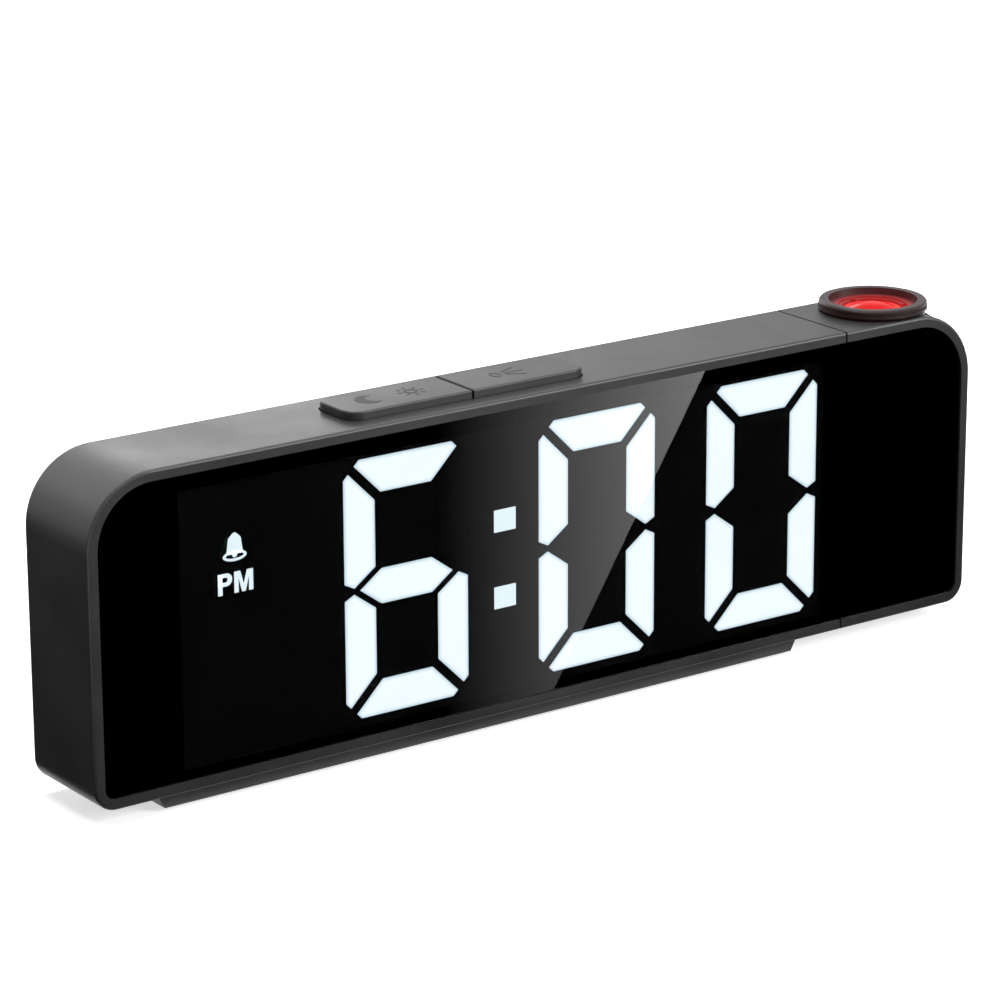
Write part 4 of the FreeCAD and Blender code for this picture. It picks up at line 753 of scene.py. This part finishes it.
lensValues = {
    "rows": 14, "footRise": 0.0011,              # of the curved foot
    "gap": 0.00002,                              # between the flange and the cell
    "flange": 0.0005, "flangeEdge": 0.0055,      # top over the cell, and radius
    "round": 0.00012, "roundRows": 5,            # of the flange's edge
    "dome": 0.0011, "domeEdge": 0.0047,          # height over the flange, and radius
    "sharp": 40,                                 # degrees from which an edge stays sharp
}


def makeLens(values):
    # moulded lens: a foot that rises with the square of the radius, inside the cell, a
    # flange that rests on the cell, and a dome that falls with the square of the radius
    low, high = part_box("objective_lens")
    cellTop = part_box("lens_cell")[1].z
    centre = ((low.x + high.x) / 2, (low.y + high.y) / 2)
    stem = (high.x - low.x) / 2
    top, under = cellTop + values["flange"], cellTop + values["gap"]
    across = np.linspace(0, 1, values["rows"])
    foot = np.column_stack([stem * across, low.z + values["footRise"] * across ** 2])
    step = [[stem, under], [values["flangeEdge"], under]]
    quarter = np.linspace(0, np.pi / 2, values["roundRows"])
    drop = values["round"] * (1 - np.sin(quarter))
    rim = np.column_stack([(values["flangeEdge"] - drop)[::-1], top - drop])
    inwards = across[::-1]
    dome = np.column_stack([values["domeEdge"] * inwards,
                            top + values["dome"] * (1 - inwards ** 2)])
    mesh = newMesh("objective_lens_dome", *revolve(np.vstack([foot, step, rim, dome]), centre))
    mesh.shade_smooth()
    mesh.set_sharp_from_angle(angle=math.radians(values["sharp"]))
    setPiece("objective_lens_dome", mesh, "lens", "red_lens", "dome", "objective_lens")


# Head's shell

headValues = {
    "corner": 0.0125, "top": 0.0597,     # radius of the round corner, height of the shell
    "slack": 0.00003,                    # how far out a point stands before it is moved
    "sink": 0.00006,                     # how far under the corner it goes
    "collar": 0.00975,                   # radius round the lens that is left alone
}


def trimmedHead(values):
    # the head's shell with the inner ribs kept under its rounded corner: a point outside the
    # corner's arc moves back along the radius to just under it
    mesh = nodes["head_case"].data.copy()
    points = readPoints(mesh)
    corner = values["corner"]
    centre = np.array([cadHigh.x, values["top"]]) - corner
    away = points[:, [0, 2]] - centre
    reach = np.hypot(*away.T)
    onCollar = np.hypot(points[:, 0] - lensAxis[0], points[:, 1]) < values["collar"]
    out = (away > 0).all(1) & (reach > corner + values["slack"]) & ~onCollar
    keep = (corner - values["sink"]) / reach[out]
    points[np.ix_(out, [0, 2])] = centre + away[out] * keep[:, None]
    mesh.vertices.foreach_set("co", points.ravel())
    mesh.update()
    setPiece("head_shell", mesh, "projector_head", "case_plastic", "case", "head_case")
    print("ribs trimmed at", int(out.sum()), "points")


# Marks on the keys

iconValues = {
    "heights": (0.000002, 0.00003),      # over the key's face
    "size": 0.0025,
    "moon": (-0.0335, -0.0006), "lamp": (-0.0248, -0.0006), "lens": (-0.0070, -0.0006),
    "moonTips": (50, 310), "moonRows": 40,                       # degrees
    "biteShift": 0.62, "bite": 0.766, "biteTips": (272, 88), "biteRows": 30,
    "bulb": 0.52, "bulbHole": 0.3, "bulbRays": (0.7, 1.05), "raySteps": 45,
    "rim": (0.36, 0.62), "hole": (0.18, 0.42), "lensRays": (0.8, 2.3),
    "slopes": (-0.42, 0, 0.42),                                  # radians
    "rayHalf": 0.09,                                             # these are shares of size
}


def rays(centre, turns, ends, values, heights):
    # straight bars that point away from the centre, one at each turn
    shapes = []
    for turn in turns:
        along = values["size"] * np.array([math.cos(turn), math.sin(turn)])
        across = values["rayHalf"] * np.array([-along[1], along[0]])
        start, end = along * ends[0], along * ends[1]
        corners = np.array([start - across, end - across, end + across, start + across])
        shapes.append(slab(corners + centre, *heights))
    return shapes


def makeIcons(values):
    # a moon, which is a circle's arc closed by the arc of a smaller one beside it, and a lamp
    # on the one key; a lens with three rays on the other
    top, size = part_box("snooze_key")[1].z, values["size"]
    heights = [top + h for h in values["heights"]]
    centre = values["moon"]
    outer = ellipse(centre, size, size, values["moonRows"], *values["moonTips"])
    bite = values["bite"] * size
    inner = ellipse((centre[0] + values["biteShift"] * size, centre[1]), bite, bite,
                    values["biteRows"], *values["biteTips"])
    moon = slab(np.vstack([outer, inner[1:-1]]), *heights)
    centre = values["lamp"]
    bulb, bulbHole = values["bulb"] * size, values["bulbHole"] * size
    lamp = [band(ellipse(centre, bulb, bulb), ellipse(centre, bulbHole, bulbHole), *heights)]
    turns = np.radians(np.arange(0, 360, values["raySteps"]))
    lamp += rays(centre, turns, values["bulbRays"], values, heights)
    centre = values["lens"]
    lens = [band(ellipse(centre, *(size * r for r in values["rim"])),
                 ellipse(centre, *(size * r for r in values["hole"])), *heights)]
    lens += rays(centre, values["slopes"], values["lensRays"], values, heights)
    for name, body, shapes in (("snooze_key_marks", "snooze", [moon] + lamp),
                               ("projector_key_marks", "projector_switch", lens)):
        setPiece(name, newMesh(name, *gather(shapes)), body, "key_plastic", "mark")


# Screws

screwValues = {
    "arm": 0.00105, "half": 0.00021, "depth": 0.0007,
    "flare": 1.25,       # width over the head, of that at the bottom
}


def crossCutter(centres, face, values):
    # two bars across each other at each screw's centre, wider over the head than in it
    square = np.array([[-1, -1], [1, -1], [1, 1], [-1, 1]])
    low, high = face - values["depth"], face + values["depth"]
    shapes = []
    for x, z in centres:
        for arms in ((values["arm"], values["half"]), (values["half"], values["arm"])):
            points, faces = slab(square * arms, low, high)
            points[len(square):, :2] *= values["flare"]
            shapes.append((points + [x, z, 0], faces))
    points, faces = gather(shapes)
    return points[:, [0, 2, 1]], [face[::-1] for face in faces]


def looseParts(mesh):
    # numbers the vertices by loose part: every edge gives both ends the lower of their two
    # numbers, until nothing changes
    ends = np.empty(2 * len(mesh.edges), np.int32)
    mesh.edges.foreach_get("vertices", ends)
    start, end = ends.reshape(-1, 2).T
    number, before = np.arange(len(mesh.vertices)), None
    while before is None or (number != before).any():
        before = number.copy()
        lower = np.minimum(number[start], number[end])
        np.minimum.at(number, start, lower)
        np.minimum.at(number, end, lower)
    return number


def crossScrews(node, body, values):
    # the screws with a cross cut in each head
    mesh, work = mergedNode(node)
    work.to_mesh(mesh)
    work.free()
    points, parts = readPoints(mesh), looseParts(mesh)
    screws = [points[parts == part][:, [0, 2]] for part in np.unique(parts)]
    centres = [(screw.min(0) + screw.max(0)) / 2 for screw in screws]
    cutter = placeObject("crossCutter", newMesh(
        "crossCutter", *crossCutter(centres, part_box(node)[1].y, values)))
    blank = placeObject("screwBlank", mesh)
    cut = blank.modifiers.new("cross", "BOOLEAN")
    cut.object, cut.operation, cut.solver, cut.use_self = cutter, "DIFFERENCE", "EXACT", True
    bpy.context.view_layer.update()
    ready = blank.evaluated_get(bpy.context.evaluated_depsgraph_get())
    crossed = bpy.data.meshes.new_from_object(ready)
    for thing in (cutter, blank):
        bpy.data.objects.remove(thing)
    setPiece(node + "_crossed", crossed, body, "steel", "screw", node)
    print(node, "crossed:", len(centres))


makeMarks(markValues)
softSegments(segmentValues)
makeLens(lensValues)
trimmedHead(headValues)
makeIcons(iconValues)
crossScrews("cover_screws", "clock", screwValues)
crossScrews("head_screws", "projector_head", screwValues)
print("pieces ready")
